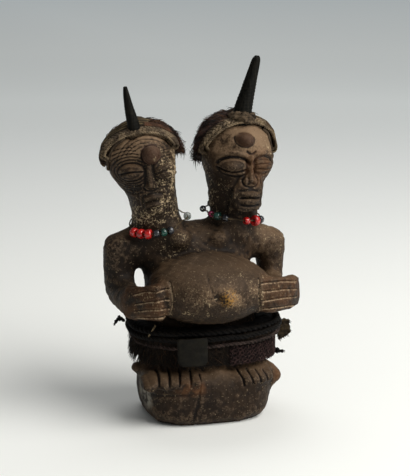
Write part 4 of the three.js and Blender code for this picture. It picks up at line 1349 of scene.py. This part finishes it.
def plait_material():
    b = Bench("plaited_fibre")
    at = b.place()
    patches, fine = b.noise(110, 3, 0.55, at), b.noise(900, 2, 0.6, at)
    colour = b.mix(b.kept("tone"), linear(62, 49, 35), linear(150, 130, 102))
    colour = b.mix(b.math("MULTIPLY", b.step(patches, 0.62, 0.4), 0.75), colour, linear(34, 24, 16))
    colour = b.mix(b.math("MULTIPLY", b.step(fine, 0.6, 0.4), 0.4), colour, linear(44, 32, 22))
    fibres = b.math("SINE", b.math("MULTIPLY", b.kept("along"), 4.2))
    b.shade(Base_Color=colour, Roughness=0.8)
    b.shade(Normal=b.bump(b.math("ADD", fibres, b.math("MULTIPLY", fine, 2.0)), 0.35, 0.0003))
    b.shader.inputs["Specular IOR Level"].default_value = 0.25
    return b.material


def striped_material():
    b = Bench("striped_cord")
    at = b.place()
    patches = b.noise(130, 3, 0.55, at)
    wave = b.math("SINE", b.math("MULTIPLY", b.kept("along"), 3.6))
    colour = b.mix(b.step(b.kept("tone"), 0.0, 0.6), linear(36, 29, 19), linear(112, 96, 68))
    colour = b.mix(b.step(b.kept("tone"), 0.76, 0.88), colour, linear(84, 55, 38))
    colour = b.mix(b.math("MULTIPLY", b.step(wave, 0.1, -0.7), 0.35), colour, linear(30, 23, 15))
    colour = b.mix(b.math("MULTIPLY", b.step(patches, 0.58, 0.42), 0.6), colour, linear(34, 25, 16))
    b.shade(Base_Color=colour, Roughness=0.8, Normal=b.bump(wave, 0.3, 0.0003))
    b.shader.inputs["Specular IOR Level"].default_value = 0.15
    return b.material


def horn_material():
    b = Bench("horn")
    at = b.place()
    stretched = b.node("ShaderNodeMapping", {"Vector": at, "Scale": (700.0, 700.0, 60.0)}).outputs[0]
    streaks, patches = b.noise(1.0, 3, 0.6, stretched), b.noise(70, 3, 0.5, at)
    colour = b.mix(b.step(streaks, 0.4, 0.68), linear(6, 6, 4), linear(22, 20, 15))
    colour = b.mix(b.math("MULTIPLY", b.step(patches, 0.5, 0.7), 0.3), colour, linear(40, 35, 26))
    b.shade(Base_Color=colour, Roughness=b.math("ADD", 0.5, b.math("MULTIPLY", streaks, 0.25)))
    b.shade(Normal=b.bump(streaks, 0.25, 0.0004))
    b.shader.inputs["Specular IOR Level"].default_value = 0.08
    return b.material


def glass_material(name, dark, light, clear=0.0):
    b = Bench(name + "_glass")
    at = b.place()
    swirl, dirt = b.noise(160, 3, 0.5, at), b.noise(520, 3, 0.6, at)
    colour = b.mix(b.step(swirl, 0.35, 0.65), linear(*dark), linear(*light))
    colour = b.mix(b.math("MULTIPLY", b.step(dirt, 0.6, 0.72), 0.5), colour, linear(48, 33, 25))
    b.shade(Base_Color=colour, Roughness=b.math("ADD", 0.15, b.math("MULTIPLY", b.step(dirt, 0.5, 0.7), 0.35)))
    b.shader.inputs["Coat Weight"].default_value = 0.3
    b.shader.inputs["Coat Roughness"].default_value = 0.15
    b.shader.inputs["Transmission Weight"].default_value = clear
    b.shade(Normal=b.bump(swirl, 0.12, 0.0004))
    return b.material


def thread_material():
    return grimy("thread", (40, 32, 23), (92, 78, 58), 300, 0.85)[0].material


def twisted_material(name, dark, light):
    b, colour = grimy(name, dark, light, 150, 0.75, 0.3, dust=0.15)
    fine = b.math("SINE", b.math("MULTIPLY", b.kept("along"), 5.0))
    tint = b.mix(b.math("MULTIPLY", b.step(fine, 0.2, -0.6), 0.5), colour, linear(*dark))
    b.shade(Base_Color=tint, Normal=b.bump(fine, 0.4, 0.0003))
    return b.material


def dark_cord_material():
    return twisted_material("dark_cord", (3, 3, 3), (15, 12, 10))


def pale_cord_material():
    return twisted_material("pale_cord", (18, 14, 13), (70, 57, 52))


def fibre_material():
    b = Bench("fibre")
    at = b.place()
    patches = b.noise(90, 3, 0.6, at)
    colour = b.mix(b.step(b.kept("tone"), 0.1, 0.75), linear(7, 5, 4), linear(36, 25, 16))
    colour = b.mix(b.step(b.kept("tone"), 0.72, 1.0), colour, linear(72, 52, 34))
    colour = b.mix(b.math("MULTIPLY", b.step(patches, 0.5, 0.68), 0.4), colour, linear(30, 25, 15))
    b.shade(Base_Color=colour, Roughness=0.85, Normal=b.bump(b.noise(700, 2, 0.6, at), 0.4, 0.0004))
    b.shader.inputs["Specular IOR Level"].default_value = 0.2
    return b.material


def net_material(name, dark, light):
    b, colour = grimy(name, dark, light, 260, 0.9, dust=0.1)
    b.shade(Base_Color=b.mix(b.step(b.noise(560, 1, 0.5), 0.66, 0.74), colour, linear(92, 76, 68)))
    return b.material


def leather_material():
    return grimy("old_leather", (7, 6, 3), (22, 19, 12), 130, 0.65, 0.6, dust=0.08)[0].material


def scrap_material():
    return grimy("old_hide", (18, 13, 8), (52, 42, 26), 200, 0.8)[0].material


def peg_material():
    return grimy("pale_wood", (80, 66, 48), (140, 122, 94), 240, 0.7)[0].material


# The studio.
CAMERA_TURN, CAMERA_RISE, CAMERA_AWAY, CAMERA_LENS = -15.0, 12.0, 1.30, 109.0
CAMERA_AIM = Vector((0.0033, 0.0, 0.159))


def back_from(turn, rise):
    a, e = math.radians(turn), math.radians(rise)
    return Vector((math.sin(a) * math.cos(e), -math.cos(a) * math.cos(e), math.sin(e)))


def camera():
    data = bpy.data.cameras.new("camera")
    data.lens, data.sensor_width, data.clip_end = CAMERA_LENS, 36.0, 100.0
    eye = bpy.data.objects.new("camera", data)
    back = back_from(CAMERA_TURN, CAMERA_RISE)
    eye.location = CAMERA_AIM + back * CAMERA_AWAY
    eye.rotation_mode = "QUATERNION"
    eye.rotation_quaternion = (-back).to_track_quat("-Z", "Y")
    bpy.context.scene.collection.objects.link(eye)
    bpy.context.scene.camera = eye


def soft_light(name, turn, rise, away, size, power, colour=(1, 1, 1)):
    data = bpy.data.lights.new(name, "AREA")
    data.shape, data.size, data.energy, data.color = "DISK", size, power, colour
    lamp = bpy.data.objects.new(name, data)
    back = back_from(turn, rise)
    lamp.location = Vector((0, 0, 0.16)) + back * away
    lamp.rotation_mode = "QUATERNION"
    lamp.rotation_quaternion = (-back).to_track_quat("-Z", "Y")
    bpy.context.scene.collection.objects.link(lamp)


def fill_ramp(node, tones):
    elements = node.color_ramp.elements
    for i, (position, colour) in enumerate(tones):
        element = elements[i] if i < 2 else elements.new(position)
        element.position, element.color = position, linear(*colour)


def floor():
    bpy.ops.object.select_all(action="DESELECT")
    bpy.ops.mesh.primitive_circle_add(vertices=96, radius=60, fill_type="NGON")
    piece = added("floor")
    b = Bench("pale_floor")
    away = b.node("ShaderNodeVectorMath", {0: b.place()}, operation="LENGTH").outputs["Value"]
    # Painted light on the floor: paler near the figure and greyer further out, as the light falls off.
    ramp = b.node("ShaderNodeValToRGB", {"Fac": b.math("DIVIDE", away, 9.0)})
    fill_ramp(ramp, [(0.0, (238, 239, 235)), (0.05, (245, 246, 242)), (0.12, (245, 247, 244)),
                     (0.18, (238, 240, 238)), (0.28, (223, 226, 224)), (0.46, (203, 206, 205)),
                     (0.92, (188, 192, 193))])
    # Painted light: the floor glows further out, and more towards +X on the key light's side, though it is no lamp.
    glow = b.node("ShaderNodeValToRGB", {"Fac": b.math("DIVIDE", away, 9.0)})
    fill_ramp(glow, [(0.06, (0, 0, 0)), (0.116, (48, 48, 48)), (0.178, (100, 102, 101)), (0.276, (139, 142, 141)),
                     (0.456, (147, 150, 149)), (0.92, (139, 144, 145))])
    across = b.node("ShaderNodeSeparateXYZ", {0: b.place()}).outputs["X"]
    sideways = b.node("ShaderNodeMapRange", {"Value": across, "From Min": -1.3, "From Max": 0.9, "To Min": 0.8,
                                             "To Max": 1.15}).outputs[0]
    glowing = b.mix(1.0, glow.outputs["Color"], b.node("ShaderNodeCombineColor", {i: sideways for i in range(3)})
                    .outputs["Color"], "MULTIPLY")
    b.shade(Base_Color=ramp.outputs["Color"], Roughness=0.9, Emission_Color=glowing)
    b.shader.inputs["Emission Strength"].default_value = 1.0
    b.shader.inputs["Specular IOR Level"].default_value = 0.1
    piece.data.materials.append(b.material)


def studio():
    camera()
    floor()
    soft_light("key", 44, 41, 1.9, 1.9, 50, (1.0, 0.985, 0.96))
    soft_light("fill", -62, 30, 2.2, 1.6, 0.6, (0.95, 0.98, 1.0))
    soft_light("top", 170, 66, 1.9, 1.3, 10)
    world = bpy.data.worlds.new("room")
    world.use_nodes = True
    shader = world.node_tree.nodes["Background"]
    shader.inputs["Color"].default_value = linear(226, 229, 230)
    shader.inputs["Strength"].default_value = 0.2
    bpy.context.scene.world = world
    bpy.context.scene.view_settings.view_transform = "Standard"


def main():
    studio()
    SHARED["dust"], SHARED["skin"] = settled_dust(), worn_skin()
    carved_wood()
    hide_cap(LEFT_HEAD, "left", (0.9, 0.5, -0.5), 21)
    hide_cap(RIGHT_HEAD, "right", (-0.7, 0.6, -0.4), 26)
    bands()
    grown_horn(LEFT_HEAD, "left", LEFT_HORN, 0.28)
    grown_horn(RIGHT_HEAD, "right", RIGHT_HORN, 0.4)
    horn_pitch(LEFT_HEAD, "left", (-6.2, -13.4, 88.5), (8.0, 6.6, 5.4), 34)
    horn_pitch(RIGHT_HEAD, "right", (-2.2, -10.0, 96.5), (13.0, 12.0, 7.0), 35)
    glasses = {
        "red": glass_material("red", (120, 14, 14), (196, 34, 30)),
        "green": glass_material("green", (10, 34, 30), (26, 70, 58)),
        "pink": glass_material("pink", (90, 14, 44), (150, 30, 78)),
        "dark": glass_material("dark", (12, 13, 16), (42, 44, 48)),
        "clear": glass_material("clear", (150, 160, 154), (210, 216, 210), 0.6),
    }
    necklace("left", glasses)
    necklace("right", glasses)
    skirt()
    net_cloth()
    waist_cords()
    leather_tab()
    hide_scrap()
    cord_end("left")
    cord_end("right")
    peg()


main()
